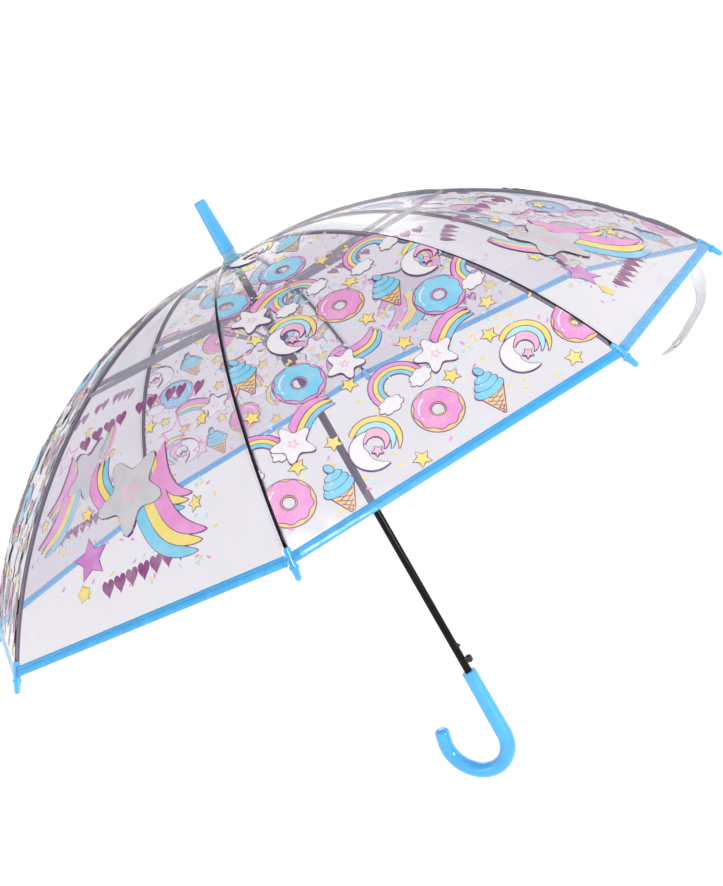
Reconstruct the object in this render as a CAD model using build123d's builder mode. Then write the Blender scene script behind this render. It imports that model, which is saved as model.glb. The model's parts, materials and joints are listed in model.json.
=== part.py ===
"""Children's stick umbrella: eight curved ribs under a clear dome canopy, opened by a spring.

The model stands upright and open. Z runs along the shaft, the origin is on the shaft's axis at the
mouth of the handle, and +X points from the shaft to the tip of the hook. Sizes are in millimetres.
"""
from build123d import *
from math import acos, asin, atan2, cos, degrees, hypot, radians, sin, sqrt
import os

# ---------------------------------------------------------------- driving dimensions
RIB_COUNT = 8
CANOPY_RADIUS = 405.0  # axis to the corner of the hem, square to the shaft
CANOPY_DEPTH = 208.5  # crown of the film down to the corner of the hem
CROWN_SLOPE = 7.2  # degrees the film climbs as it leaves the shaft
HEM_SLOPE = 57.7  # degrees the film falls where it meets the hem
CROWN_HEIGHT = 474.0  # mouth of the handle up to the crown of the film

FILM_THICKNESS = 0.3
HEM_WIDTH = 9.0
HEM_THICKNESS = 0.9
FILM_GAP = 0.15  # each panel stops this far short of the rib's middle plane

SHAFT_DIAMETER = 8.0
SHAFT_WALL = 0.6
SHAFT_IN_HANDLE = 58.0
SHAFT_ABOVE_CROWN = 38.0

RIB_WIDTH = 3.0
RIB_DEPTH = 3.2
RIB_WALL = 0.5
RIB_BELOW_FILM = 1.0  # top of the rib under the fold line of the film
RIB_JOINT_RADIUS = 208.8  # where the stretcher takes hold of the rib

HINGE_OFF_SHAFT = 2.8  # from the shaft's face to the wire that ribs and stretchers turn on
NOTCH_HINGE_DROP = 4.0  # that wire under the crown, in the top notch
RUNNER_HINGE_DROP = 48.7  # that wire under the crown, in the open runner
WIRE_RADIUS = 0.5
EYE_GAP = 0.1
TAB_THICKNESS = 1.4
TAB_SLOT_GAP = 0.3  # each side of a tab in its slot

FORK_GAP = 0.4  # each side of the rib, inside the stretcher's fork
STRETCHER_DEPTH = 5.0
STRETCHER_WALL = 0.5
FORK_LENGTH = 56.0
CLOSED_TIP_RADIUS = 24.0  # where the hem corners come to rest round the shaft

LINK_REACH = 50.0  # from the runner's wire out to the link's rivet
LINK_RIVET_DROP = 1.0  # the link's rivet under the stretcher's middle line
LINK_DEPTH = 2.2
LINK_OFF_SPRING = 0.9  # from the spring's outside to the link ring's wire
RING_DROP_CLOSED = 14.0  # ring's wire under the runner's wire when folded

RUNNER_TUBE_WALL = 1.52
RUNNER_BORE_GAP = 0.08
HUB_RIM = 2.2  # from a hinge wire out to the rim of its hub
RUNNER_LENGTH = 65.8  # runner's wire down to its lower end
RUNNER_COLLAR_RIM = 2.0
RUNNER_COLLAR_HEIGHT = 8.0
SPRING_WIRE = 1.2
SPRING_OFF_TUBE = 0.7
SPRING_TURNS = 6

HANDLE_TOP_DIAMETER = 15.2
HANDLE_BEND_DIAMETER = 16.6
HANDLE_END_DIAMETER = 15.6
HANDLE_STRAIGHT = 74.0
HOOK_RADIUS = 35.0
HOOK_ANGLE = 195.0
HOOK_TAIL = 15.0

FINIAL_LENGTH = 55.0
FINIAL_BASE_DIAMETER = 15.0
FINIAL_TIP_DIAMETER = 11.8
FINIAL_BASE_HEIGHT = 9.8  # above the crown

TIP_CAP_WALL = 0.8
TIP_CAP_INSIDE = 14.0
TIP_CAP_OUTSIDE = 13.0

BUTTON_HEIGHT = 12.7  # centre above the mouth of the handle
BUTTON_TRAVEL = 2.2
CATCH_HEIGHT = 31.0
CATCH_LENGTH = 6.0

STRAP_WIDTH = 12.0
STRAP_THICKNESS = 0.8
STRAP_SHARE = 0.77  # how far along the hem of panel 4 the strap is fixed

# ---------------------------------------------------------------- derived places
SHAFT_RADIUS = SHAFT_DIAMETER / 2
HINGE_RADIUS = SHAFT_RADIUS + HINGE_OFF_SHAFT
CANOPY_HOLE_RADIUS = HINGE_RADIUS + 1.3
RUNNER_BORE = SHAFT_RADIUS + RUNNER_BORE_GAP
RUNNER_TUBE_RADIUS = RUNNER_BORE + RUNNER_TUBE_WALL
RUNNER_CROWN_RADIUS = HINGE_RADIUS + HUB_RIM
SPRING_RADIUS = RUNNER_TUBE_RADIUS + SPRING_OFF_TUBE + SPRING_WIRE / 2
RING_HINGE_RADIUS = SPRING_RADIUS + SPRING_WIRE / 2 + LINK_OFF_SPRING
RING_RADIUS = RING_HINGE_RADIUS + HUB_RIM
STRETCHER_WIDTH = RIB_WIDTH + 2 * (FORK_GAP + STRETCHER_WALL)
TIP_CAP_DIAMETER = hypot(RIB_WIDTH, RIB_DEPTH) + 2 * TIP_CAP_WALL
STEP = 360 / RIB_COUNT
HALF_STEP = radians(STEP / 2)
NOTCH_Z = CROWN_HEIGHT - NOTCH_HINGE_DROP
HUB_Z = CROWN_HEIGHT - RUNNER_HINGE_DROP


def polar(distance, angle):
    """A step of the given length at an angle in degrees from the first axis of a drawing plane."""
    return distance * cos(radians(angle)), distance * sin(radians(angle))


def shifted(point, step):
    """A point of a drawing plane moved by a step."""
    return point[0] + step[0], point[1] + step[1]


def canopy_curve(inward=0.0, squeeze=1.0):
    """Four control points of the canopy's line over a rib, moved inward along its normals.

    A squeeze of cos(22.5 degrees) turns the line over a rib into the line up the middle of a panel.
    """
    start = shifted((CANOPY_HOLE_RADIUS, CROWN_HEIGHT), polar(inward, CROWN_SLOPE - 90))
    hem = shifted((CANOPY_RADIUS, CROWN_HEIGHT - CANOPY_DEPTH), polar(inward, -HEM_SLOPE - 90))
    arm = hypot(hem[0] - start[0], hem[1] - start[1]) / 3
    leave = shifted(start, polar(arm, CROWN_SLOPE))
    arrive = shifted(hem, polar(-arm, -HEM_SLOPE))
    return [(squeeze * r, z) for r, z in (start, leave, arrive, hem)]


def blend_points(a, b, share):
    """The point a share of the way from a to b."""
    return a[0] + (b[0] - a[0]) * share, a[1] + (b[1] - a[1]) * share


def split_curve(points, share):
    """Both halves of a cubic curve cut at a share of its parameter."""
    first, last, row = [points[0]], [points[-1]], points
    while len(row) > 1:
        row = [blend_points(a, b, share) for a, b in zip(row, row[1:])]
        first.append(row[0])
        last.insert(0, row[-1])
    return first, last


def share_at_radius(points, radius):
    """The parameter at which the curve reaches a radius."""
    low, high = 0.0, 1.0
    for _ in range(40):
        middle = (low + high) / 2
        if split_curve(points, middle)[0][-1][0] < radius:
            low = middle
        else:
            high = middle
    return low


def radial_plane(angle, radius=0.0, height=0.0, lean=0.0):
    """Drawing plane through the axis at an azimuth: x outward, turned up by lean, and y upward."""
    out = Vector(cos(radians(angle)), sin(radians(angle)), 0)
    side = Vector(sin(radians(angle)), -cos(radians(angle)), 0)
    along = out * cos(radians(lean)) + Vector(0, 0, sin(radians(lean)))
    return Plane(origin=out * radius + Vector(0, 0, height), x_dir=along, z_dir=side)


rib_line = canopy_curve()
rib_axis_line = canopy_curve(inward=RIB_BELOW_FILM + RIB_DEPTH / 2)
joint_share = share_at_radius(rib_line, RIB_JOINT_RADIUS)
RIB_JOINT = split_curve(rib_axis_line, joint_share)[0][-1]

# The four-bar chain notch, rib joint, runner, seen in the plane of one rib, open and folded.
rib_reach = hypot(RIB_JOINT[0] - HINGE_RADIUS, RIB_JOINT[1] - NOTCH_Z)
stretcher_reach = hypot(RIB_JOINT[0] - HINGE_RADIUS, RIB_JOINT[1] - HUB_Z)
rib_open = degrees(atan2(RIB_JOINT[1] - NOTCH_Z, RIB_JOINT[0] - HINGE_RADIUS))
stretcher_open = degrees(atan2(RIB_JOINT[1] - HUB_Z, RIB_JOINT[0] - HINGE_RADIUS))
corner_out, corner_up = CANOPY_RADIUS - HINGE_RADIUS, -CANOPY_DEPTH + NOTCH_HINGE_DROP
corner_open = degrees(atan2(corner_up, corner_out))
corner_folded = -degrees(acos((CLOSED_TIP_RADIUS - HINGE_RADIUS) / hypot(corner_out, corner_up)))
RIB_SWING = corner_open - corner_folded
folded_joint = shifted((HINGE_RADIUS, NOTCH_Z), polar(rib_reach, rib_open - RIB_SWING))
stretcher_folded = degrees(acos((folded_joint[0] - HINGE_RADIUS) / stretcher_reach))
STRETCHER_SWING = stretcher_folded - stretcher_open
folded_hub_z = folded_joint[1] - stretcher_reach * sin(radians(stretcher_folded))
RUNNER_TRAVEL = HUB_Z - folded_hub_z

rivet_reach = hypot(LINK_REACH, LINK_RIVET_DROP)
rivet_lean = degrees(atan2(LINK_RIVET_DROP, LINK_REACH))
rivet_open = shifted((HINGE_RADIUS, 0), polar(rivet_reach, stretcher_open - rivet_lean))
rivet_folded = shifted((HINGE_RADIUS, 0), polar(rivet_reach, stretcher_folded - rivet_lean))
link_length = hypot(rivet_folded[0] - RING_HINGE_RADIUS, rivet_folded[1] + RING_DROP_CLOSED)
RING_DROP_OPEN = sqrt(link_length**2 - (rivet_open[0] - RING_HINGE_RADIUS) ** 2) - rivet_open[1]
RING_Z = HUB_Z - RING_DROP_OPEN
link_open = degrees(asin((rivet_open[1] + RING_DROP_OPEN) / link_length))
link_folded = degrees(asin((rivet_folded[1] + RING_DROP_CLOSED) / link_length))

rib_angles = [STEP * (k + 0.5) for k in range(RIB_COUNT)]
panel_angles = [STEP * (k + 1) for k in range(RIB_COUNT)]
os.makedirs("parts", exist_ok=True)


def save(part, name):
    """Label a finished piece and write it as its own file."""
    part.label = name
    export_step(part, f"parts/{name}.step")


# ---------------------------------------------------------------- shaft, handle, finial
BUTTON_SIDE = 180.0
button_plane = radial_plane(BUTTON_SIDE)
STEM_HEIGHT = 4.0
STEM_WIDTH = 3.0
WINDOW_GAP = 0.4

with BuildPart() as shaft:
    with BuildSketch(Plane.XY.offset(-SHAFT_IN_HANDLE)):
        Circle(SHAFT_RADIUS)
        Circle(SHAFT_RADIUS - SHAFT_WALL, mode=Mode.SUBTRACT)
    extrude(amount=SHAFT_IN_HANDLE + CROWN_HEIGHT + SHAFT_ABOVE_CROWN)
    with BuildSketch(Plane.YZ.offset(-SHAFT_RADIUS - 1)):
        with Locations((0, BUTTON_HEIGHT)):
            Rectangle(STEM_WIDTH + WINDOW_GAP, STEM_HEIGHT + WINDOW_GAP)
        with Locations((0, CATCH_HEIGHT)):
            Rectangle(STEM_WIDTH + WINDOW_GAP, CATCH_LENGTH + WINDOW_GAP)
    extrude(amount=SHAFT_RADIUS, mode=Mode.SUBTRACT)
save(shaft.part, "shaft")

hook_centre = (HOOK_RADIUS, -HANDLE_STRAIGHT)
with BuildPart() as handle:
    with BuildLine(Plane.XZ) as spine:
        straight = Line((0, 0), (0, -HANDLE_STRAIGHT))
        bend = CenterArc(hook_centre, HOOK_RADIUS, 180, HOOK_ANGLE)
        tail = PolarLine(bend @ 1, HOOK_TAIL, direction=bend % 1)
    with BuildSketch(Plane(origin=straight @ 0, z_dir=straight % 0)):
        Circle(HANDLE_TOP_DIAMETER / 2)
    with BuildSketch(Plane(origin=straight @ 1, z_dir=straight % 1)):
        Circle(HANDLE_BEND_DIAMETER / 2)
    loft()
    with BuildSketch(Plane(origin=straight @ 1, z_dir=straight % 1)):
        Circle(HANDLE_BEND_DIAMETER / 2)
    with BuildSketch(Plane(origin=bend @ 1, z_dir=bend % 1)) as bend_end:
        Circle(HANDLE_END_DIAMETER / 2)
    sweep(path=bend, multisection=True)
    with BuildSketch(Plane(origin=bend @ 1, z_dir=bend % 1)):
        Circle(HANDLE_END_DIAMETER / 2)
    extrude(amount=HOOK_TAIL)
    fillet(handle.faces().sort_by(SortBy.DISTANCE).filter_by(GeomType.PLANE)[-1].edges(), 5.5)
    fillet(handle.faces().sort_by(Axis.Z)[-1].edges(), 1.2)
    with BuildSketch(Plane.XY):
        Circle(SHAFT_RADIUS)
    extrude(amount=-SHAFT_IN_HANDLE, mode=Mode.SUBTRACT)
save(handle.part, "handle")

finial_z = CROWN_HEIGHT + FINIAL_BASE_HEIGHT
with BuildPart() as finial:
    with BuildSketch(Plane.XZ):
        with BuildLine():
            Polyline(
                (SHAFT_RADIUS, finial_z),
                (FINIAL_BASE_DIAMETER / 2, finial_z),
                (FINIAL_TIP_DIAMETER / 2, finial_z + FINIAL_LENGTH),
                (0, finial_z + FINIAL_LENGTH),
                (0, CROWN_HEIGHT + SHAFT_ABOVE_CROWN),
                (SHAFT_RADIUS, CROWN_HEIGHT + SHAFT_ABOVE_CROWN),
                close=True,
            )
        make_face()
    revolve(axis=Axis.Z)
    fillet(finial.faces().sort_by(Axis.Z)[-1].edges(), 1.4)
    fillet(finial.edges().filter_by(GeomType.CIRCLE).sort_by(Axis.Z)[0:2].sort_by(SortBy.LENGTH)[-1], 0.8)
save(finial.part, "finial")

TOP_CAP_RADIUS = HINGE_RADIUS + 3.7
TOP_CAP_GAP = 1.0
TOP_CAP_NECK = SHAFT_RADIUS + 3
with BuildPart() as top_cap:
    with BuildSketch(Plane.XZ):
        with BuildLine():
            Polyline(
                (SHAFT_RADIUS, CROWN_HEIGHT + TOP_CAP_GAP),
                (TOP_CAP_RADIUS, CROWN_HEIGHT + TOP_CAP_GAP),
                (TOP_CAP_RADIUS, CROWN_HEIGHT + TOP_CAP_GAP + 1.4),
                (TOP_CAP_NECK, CROWN_HEIGHT + 5),
                (TOP_CAP_NECK, finial_z),
                (SHAFT_RADIUS, finial_z),
                close=True,
            )
        make_face()
    revolve(axis=Axis.Z)
save(top_cap.part, "top_cap")

# ---------------------------------------------------------------- hubs and their wires
NOTCH_RADIUS = HINGE_RADIUS + 1.8
NOTCH_NECK_RADIUS = HINGE_RADIUS + 0.2
NOTCH_BOTTOM_DROP = 10.0
EYE_RADIUS = 1.6
LINK_EYE_RADIUS = 1.5
EYE_SLOT_GAP = 0.1
SLOT_INNER_RADIUS = HINGE_RADIUS - EYE_RADIUS - EYE_SLOT_GAP
RING_SLOT_INNER_RADIUS = RING_HINGE_RADIUS - LINK_EYE_RADIUS - 2 * EYE_SLOT_GAP
TAB_SLOT = TAB_THICKNESS + 2 * TAB_SLOT_GAP
WIRE_GROOVE_GAP = 0.05


def slot_sketch(inner, outer):
    """Eight radial slots for the tabs of ribs, stretchers or links."""
    with BuildSketch(Plane.XY) as slots:
        with PolarLocations((inner + outer) / 2, RIB_COUNT, start_angle=STEP / 2):
            Rectangle(outer - inner, TAB_SLOT)
    return slots.sketch


def wire_ring(radius, height, thickness):
    """A closed wire ring round the axis."""
    with BuildPart() as ring:
        with BuildSketch(Plane.XZ):
            with Locations((radius, height)):
                Circle(thickness)
        revolve(axis=Axis.Z)
    return ring.part


with BuildPart() as top_notch:
    with BuildSketch(Plane.XZ):
        with BuildLine():
            Polyline(
                (SHAFT_RADIUS, CROWN_HEIGHT - NOTCH_BOTTOM_DROP),
                (NOTCH_RADIUS - 2, CROWN_HEIGHT - NOTCH_BOTTOM_DROP),
                (NOTCH_RADIUS, CROWN_HEIGHT - NOTCH_BOTTOM_DROP + 3),
                (NOTCH_RADIUS, CROWN_HEIGHT - 1.6),
                (NOTCH_NECK_RADIUS, CROWN_HEIGHT - 0.4),
                (NOTCH_NECK_RADIUS, CROWN_HEIGHT + TOP_CAP_GAP),
                (SHAFT_RADIUS, CROWN_HEIGHT + TOP_CAP_GAP),
                close=True,
            )
        make_face()
    revolve(axis=Axis.Z)
    slots = slot_sketch(SLOT_INNER_RADIUS, NOTCH_RADIUS + 1)
    extrude(slots.moved(Location((0, 0, CROWN_HEIGHT - 1))), amount=-NOTCH_BOTTOM_DROP, mode=Mode.SUBTRACT)
    add(wire_ring(HINGE_RADIUS, NOTCH_Z, WIRE_RADIUS + WIRE_GROOVE_GAP), mode=Mode.SUBTRACT)
save(top_notch.part, "top_notch")
save(wire_ring(HINGE_RADIUS, NOTCH_Z, WIRE_RADIUS), "notch_wire")

RUNNER_COLLAR_RADIUS = RUNNER_TUBE_RADIUS + RUNNER_COLLAR_RIM
CROWN_ABOVE = 4.0
CROWN_BELOW = 3.5
CATCH_PLAY = 1.0
runner_end_z = HUB_Z - RUNNER_LENGTH
catch_window_z = CATCH_HEIGHT + RUNNER_TRAVEL
with BuildPart() as runner:
    with BuildSketch(Plane.XZ):
        with BuildLine():
            Polyline(
                (RUNNER_BORE, runner_end_z),
                (RUNNER_COLLAR_RADIUS, runner_end_z),
                (RUNNER_COLLAR_RADIUS, runner_end_z + RUNNER_COLLAR_HEIGHT),
                (RUNNER_TUBE_RADIUS, runner_end_z + RUNNER_COLLAR_HEIGHT + 2),
                (RUNNER_TUBE_RADIUS, HUB_Z - CROWN_BELOW),
                (RUNNER_CROWN_RADIUS, HUB_Z - CROWN_BELOW),
                (RUNNER_CROWN_RADIUS, HUB_Z + CROWN_ABOVE - 1),
                (RUNNER_CROWN_RADIUS - 1, HUB_Z + CROWN_ABOVE),
                (RUNNER_BORE, HUB_Z + CROWN_ABOVE),
                close=True,
            )
        make_face()
    revolve(axis=Axis.Z)
    slots = slot_sketch(SLOT_INNER_RADIUS, RUNNER_CROWN_RADIUS + 1)
    extrude(
        slots.moved(Location((0, 0, HUB_Z - CROWN_BELOW))),
        amount=CROWN_BELOW + CROWN_ABOVE,
        mode=Mode.SUBTRACT,
    )
    add(wire_ring(HINGE_RADIUS, HUB_Z, WIRE_RADIUS + WIRE_GROOVE_GAP), mode=Mode.SUBTRACT)
    with BuildSketch(Plane.YZ.offset(-RUNNER_COLLAR_RADIUS - 1)):
        with Locations((0, catch_window_z)):
            Rectangle(STEM_WIDTH + WINDOW_GAP, CATCH_LENGTH + 2 * CATCH_PLAY)
    extrude(amount=RUNNER_COLLAR_RADIUS, mode=Mode.SUBTRACT)
    fillet(runner.faces().sort_by(Axis.Z)[0].edges().sort_by(SortBy.LENGTH)[-1], 0.8)
save(runner.part, "runner")
save(wire_ring(HINGE_RADIUS, HUB_Z, WIRE_RADIUS), "runner_wire")

RING_BORE = RUNNER_TUBE_RADIUS + RUNNER_BORE_GAP
RING_BELOW = 3.5
RING_ABOVE = 3.0
with BuildPart() as link_ring:
    with BuildSketch(Plane.XZ):
        with BuildLine():
            Polyline(
                (RING_BORE, RING_Z - RING_BELOW),
                (RING_RADIUS - 1, RING_Z - RING_BELOW),
                (RING_RADIUS, RING_Z - RING_BELOW + 1),
                (RING_RADIUS, RING_Z + 1.5),
                (RING_RADIUS - 1, RING_Z + RING_ABOVE),
                (RING_BORE, RING_Z + RING_ABOVE),
                close=True,
            )
        make_face()
    revolve(axis=Axis.Z)
    slots = slot_sketch(RING_SLOT_INNER_RADIUS, RING_RADIUS + 1)
    extrude(
        slots.moved(Location((0, 0, RING_Z - RING_BELOW))),
        amount=RING_BELOW + RING_ABOVE,
        mode=Mode.SUBTRACT,
    )
    add(wire_ring(RING_HINGE_RADIUS, RING_Z, WIRE_RADIUS + WIRE_GROOVE_GAP), mode=Mode.SUBTRACT)
save(link_ring.part, "link_ring")
save(wire_ring(RING_HINGE_RADIUS, RING_Z, WIRE_RADIUS), "link_ring_wire")


def coil(plane, radius, wire, length, turns):
    """A round-wire compression spring that fills a length along its plane's normal."""
    rise = length - 2 * wire
    with BuildPart() as spring:
        with BuildLine(Plane.XY.offset(wire)) as path:
            Helix(pitch=rise / turns, height=rise, radius=radius)
        with BuildSketch(Plane(origin=path.line @ 0, z_dir=path.line % 0)):
            Circle(wire / 2)
        sweep(path=path.line, is_frenet=True)
    return plane.location * spring.part


spring_bottom = RING_Z + RING_ABOVE
spring_length = HUB_Z - CROWN_BELOW - spring_bottom
spring_plane = Plane.XY.offset(spring_bottom)
opening_spring = coil(spring_plane, SPRING_RADIUS, SPRING_WIRE, spring_length, SPRING_TURNS)
save(opening_spring, "opening_spring")

# ---------------------------------------------------------------- release button
ARM_OFF_WALL = 1.0
ARM_FACE = SHAFT_RADIUS - SHAFT_WALL - ARM_OFF_WALL
ARM_THICKNESS = 1.8
CAP_GAP = 0.2
CAP_THICKNESS = 4.8
cap_face = SHAFT_RADIUS + BUTTON_TRAVEL + CAP_GAP
BUTTON_CAP_HEIGHT = 8.0
BUTTON_CAP_WIDTH = 6.5
arm_bottom = BUTTON_HEIGHT - STEM_HEIGHT / 2
arm_top = CATCH_HEIGHT + CATCH_LENGTH / 2
with BuildPart() as release_button:
    with BuildSketch(button_plane):
        with BuildLine():
            Polyline(
                (ARM_FACE - ARM_THICKNESS, arm_bottom),
                (cap_face + 1, arm_bottom),
                (cap_face + 1, arm_bottom + STEM_HEIGHT),
                (ARM_FACE, arm_bottom + STEM_HEIGHT),
                (ARM_FACE, arm_top - CATCH_LENGTH),
                (SHAFT_RADIUS + BUTTON_TRAVEL, arm_top - CATCH_LENGTH),
                (SHAFT_RADIUS + BUTTON_TRAVEL, arm_top - CATCH_LENGTH + 1.5),
                (ARM_FACE, arm_top),
                (ARM_FACE - ARM_THICKNESS, arm_top),
                close=True,
            )
        make_face()
    extrude(amount=STEM_WIDTH / 2, both=True)
    with BuildSketch(Plane.YZ.offset(-cap_face)):
        with Locations((0, BUTTON_HEIGHT)):
            RectangleRounded(BUTTON_CAP_WIDTH, BUTTON_CAP_HEIGHT, BUTTON_CAP_WIDTH / 2 - 0.3)
    extrude(amount=-CAP_THICKNESS)
    fillet(release_button.faces().sort_by(Axis.X)[0].edges(), 1.8)
save(release_button.part, "release_button")

BUTTON_SPRING_HEIGHT = 21.0
BUTTON_SPRING_RADIUS = 1.1
BUTTON_SPRING_WIRE = 0.4
SPRING_SEAT_GAP = 0.1
spring_outer = BUTTON_SPRING_RADIUS + BUTTON_SPRING_WIRE / 2
spring_seat = sqrt((SHAFT_RADIUS - SHAFT_WALL) ** 2 - spring_outer**2) - SPRING_SEAT_GAP
button_spring_room = spring_seat + ARM_FACE - ARM_THICKNESS - SPRING_SEAT_GAP
button_spring = coil(
    Plane(origin=(spring_seat, 0, BUTTON_SPRING_HEIGHT), z_dir=(-1, 0, 0)),
    BUTTON_SPRING_RADIUS,
    BUTTON_SPRING_WIRE,
    button_spring_room,
    4,
)
save(button_spring, "button_spring")

# ---------------------------------------------------------------- ribs, tips, stretchers, links
RIB_START_RADIUS = NOTCH_RADIUS + 4
RIB_END_SHARE = 0.992
TAB_DEPTH = 2.6
rib_top = canopy_curve(inward=RIB_BELOW_FILM)
rib_bottom = canopy_curve(inward=RIB_BELOW_FILM + RIB_DEPTH)
rib_web_bottom = canopy_curve(inward=RIB_BELOW_FILM + RIB_WALL)
rib_past_bottom = canopy_curve(inward=RIB_BELOW_FILM + RIB_DEPTH + 1)
rib_root_share = share_at_radius(rib_line, RIB_START_RADIUS)
rib_root = split_curve(rib_axis_line, rib_root_share)[0][-1]


def curve_piece(points, start, end):
    """The stretch of a cubic curve between two of its parameters."""
    return split_curve(split_curve(points, end)[0], start / end)[1]


def band(upper, lower):
    """Closed outline between two curves, for a sketch."""
    Bezier(*upper)
    Bezier(*lower)
    Line(upper[0], lower[0])
    Line(upper[-1], lower[-1])


for number, angle in enumerate(rib_angles, start=1):
    with BuildPart() as rib:
        with BuildSketch(radial_plane(angle)):
            with BuildLine():
                band(
                    curve_piece(rib_top, rib_root_share, RIB_END_SHARE),
                    curve_piece(rib_bottom, rib_root_share, RIB_END_SHARE),
                )
            make_face()
        extrude(amount=RIB_WIDTH / 2, both=True)
        with BuildSketch(radial_plane(angle)):
            with BuildLine():
                band(
                    curve_piece(rib_web_bottom, rib_root_share, RIB_END_SHARE),
                    curve_piece(rib_past_bottom, rib_root_share, RIB_END_SHARE),
                )
            make_face()
        extrude(amount=RIB_WIDTH / 2 - RIB_WALL, both=True, mode=Mode.SUBTRACT)
        root_x, root_y = rib_root[0] - HINGE_RADIUS, rib_root[1] - NOTCH_Z
        lean = degrees(atan2(root_y, root_x))
        with BuildSketch(radial_plane(angle, HINGE_RADIUS, NOTCH_Z, lean)):
            Circle(EYE_RADIUS)
            with Locations((hypot(root_x, root_y) / 2 + 0.5, 0)):
                Rectangle(hypot(root_x, root_y) + 1, TAB_DEPTH)
            Circle(WIRE_RADIUS + EYE_GAP, mode=Mode.SUBTRACT)
        extrude(amount=TAB_THICKNESS / 2, both=True)
    save(rib.part, f"rib_{number}")

CAP_COLLAR_DIAMETER = TIP_CAP_DIAMETER + 1.8
CAP_COLLAR_LENGTH = 2.0
CAP_NOSE_DIAMETER = TIP_CAP_DIAMETER - 1.4
RIB_IN_CAP_GAP = 0.3
tip_axis = canopy_curve(inward=RIB_BELOW_FILM + RIB_DEPTH / 2)[-1]


def tip_plane(angle):
    """Plane at the end of a rib: x runs out along the rib, y is square to it in the rib's plane."""
    return radial_plane(angle, tip_axis[0], tip_axis[1], -HEM_SLOPE)


for number, angle in enumerate(rib_angles, start=1):
    here = tip_plane(angle)
    with BuildPart() as rib_tip:
        with BuildSketch(here):
            with BuildLine():
                Polyline(
                    (-TIP_CAP_INSIDE, 0),
                    (-TIP_CAP_INSIDE, TIP_CAP_DIAMETER / 2 - 0.4),
                    (-TIP_CAP_INSIDE + 1, TIP_CAP_DIAMETER / 2),
                    (1, TIP_CAP_DIAMETER / 2),
                    (1, CAP_COLLAR_DIAMETER / 2),
                    (1 + CAP_COLLAR_LENGTH, CAP_COLLAR_DIAMETER / 2),
                    (1 + CAP_COLLAR_LENGTH, TIP_CAP_DIAMETER / 2),
                    (TIP_CAP_OUTSIDE - 1.5, CAP_NOSE_DIAMETER / 2),
                    (TIP_CAP_OUTSIDE, CAP_NOSE_DIAMETER / 2 - 1.2),
                    (TIP_CAP_OUTSIDE, 0),
                    close=True,
                )
            make_face()
        revolve(axis=Axis(here.origin, here.x_dir))
        with BuildSketch(here):
            with Locations((-TIP_CAP_INSIDE / 2, 0)):
                Rectangle(TIP_CAP_INSIDE + 1, RIB_DEPTH + 2 * RIB_IN_CAP_GAP)
        extrude(amount=RIB_WIDTH / 2 + RIB_IN_CAP_GAP / 4, both=True, mode=Mode.SUBTRACT)
    save(rib_tip.part, f"rib_tip_{number}")

CHANNEL_START = RUNNER_CROWN_RADIUS - 1
FORK_END_RADIUS = 1.6
RIVET_HEAD_RADIUS = 1.4
RIVET_HEAD_HEIGHT = 0.5
STRETCHER_TAB_DEPTH = 3.0
fork_start = stretcher_reach - FORK_LENGTH
for number, angle in enumerate(rib_angles, start=1):
    here = radial_plane(angle, HINGE_RADIUS, HUB_Z, stretcher_open)
    with BuildPart() as stretcher:
        with BuildSketch(here):
            with BuildLine():
                Polyline(
                    (CHANNEL_START, STRETCHER_DEPTH / 2),
                    (fork_start, STRETCHER_DEPTH / 2),
                    (stretcher_reach, FORK_END_RADIUS),
                    (stretcher_reach, -FORK_END_RADIUS),
                    (fork_start, -STRETCHER_DEPTH / 2),
                    (CHANNEL_START, -STRETCHER_DEPTH / 2),
                    close=True,
                )
            make_face()
            with Locations((stretcher_reach, 0)):
                Circle(FORK_END_RADIUS)
        extrude(amount=STRETCHER_WIDTH / 2, both=True)
        with BuildSketch(here):
            with Locations(((CHANNEL_START + stretcher_reach) / 2 + 3, -STRETCHER_WALL)):
                Rectangle(stretcher_reach - CHANNEL_START + 2, STRETCHER_DEPTH)
            with Locations((stretcher_reach, 0)):
                Rectangle(2 * FORK_LENGTH, 2 * STRETCHER_DEPTH)
        extrude(amount=STRETCHER_WIDTH / 2 - STRETCHER_WALL, both=True, mode=Mode.SUBTRACT)
        with BuildSketch(here):
            Circle(EYE_RADIUS)
            with Locations((CHANNEL_START / 2 + 1, 0)):
                Rectangle(CHANNEL_START + 2, STRETCHER_TAB_DEPTH)
            Circle(WIRE_RADIUS + EYE_GAP, mode=Mode.SUBTRACT)
        extrude(amount=TAB_THICKNESS / 2, both=True)
        for side in (1, -1):
            with BuildSketch(here.offset(side * STRETCHER_WIDTH / 2)):
                with Locations((stretcher_reach, 0), (LINK_REACH, -LINK_RIVET_DROP)):
                    Circle(RIVET_HEAD_RADIUS)
            extrude(amount=side * RIVET_HEAD_HEIGHT)
    save(stretcher.part, f"stretcher_{number}")

for number, angle in enumerate(rib_angles, start=1):
    with BuildPart() as link:
        with BuildSketch(radial_plane(angle, RING_HINGE_RADIUS, RING_Z, link_open)):
            Circle(LINK_EYE_RADIUS)
            with Locations((link_length / 2, 0)):
                Rectangle(link_length, LINK_DEPTH)
            with Locations((link_length, 0)):
                Circle(LINK_DEPTH / 2)
            Circle(WIRE_RADIUS + EYE_GAP, mode=Mode.SUBTRACT)
        extrude(amount=TAB_THICKNESS / 2, both=True)
    save(link.part, f"link_{number}")

# ---------------------------------------------------------------- canopy
FILM_START_RADIUS = NOTCH_RADIUS + 1
CORNER_CLEARANCE = 0.6
hem_share = 1 - HEM_WIDTH / hypot(CANOPY_RADIUS, CANOPY_DEPTH)
squeeze = cos(HALF_STEP)
film_under = canopy_curve(squeeze=squeeze)


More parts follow.
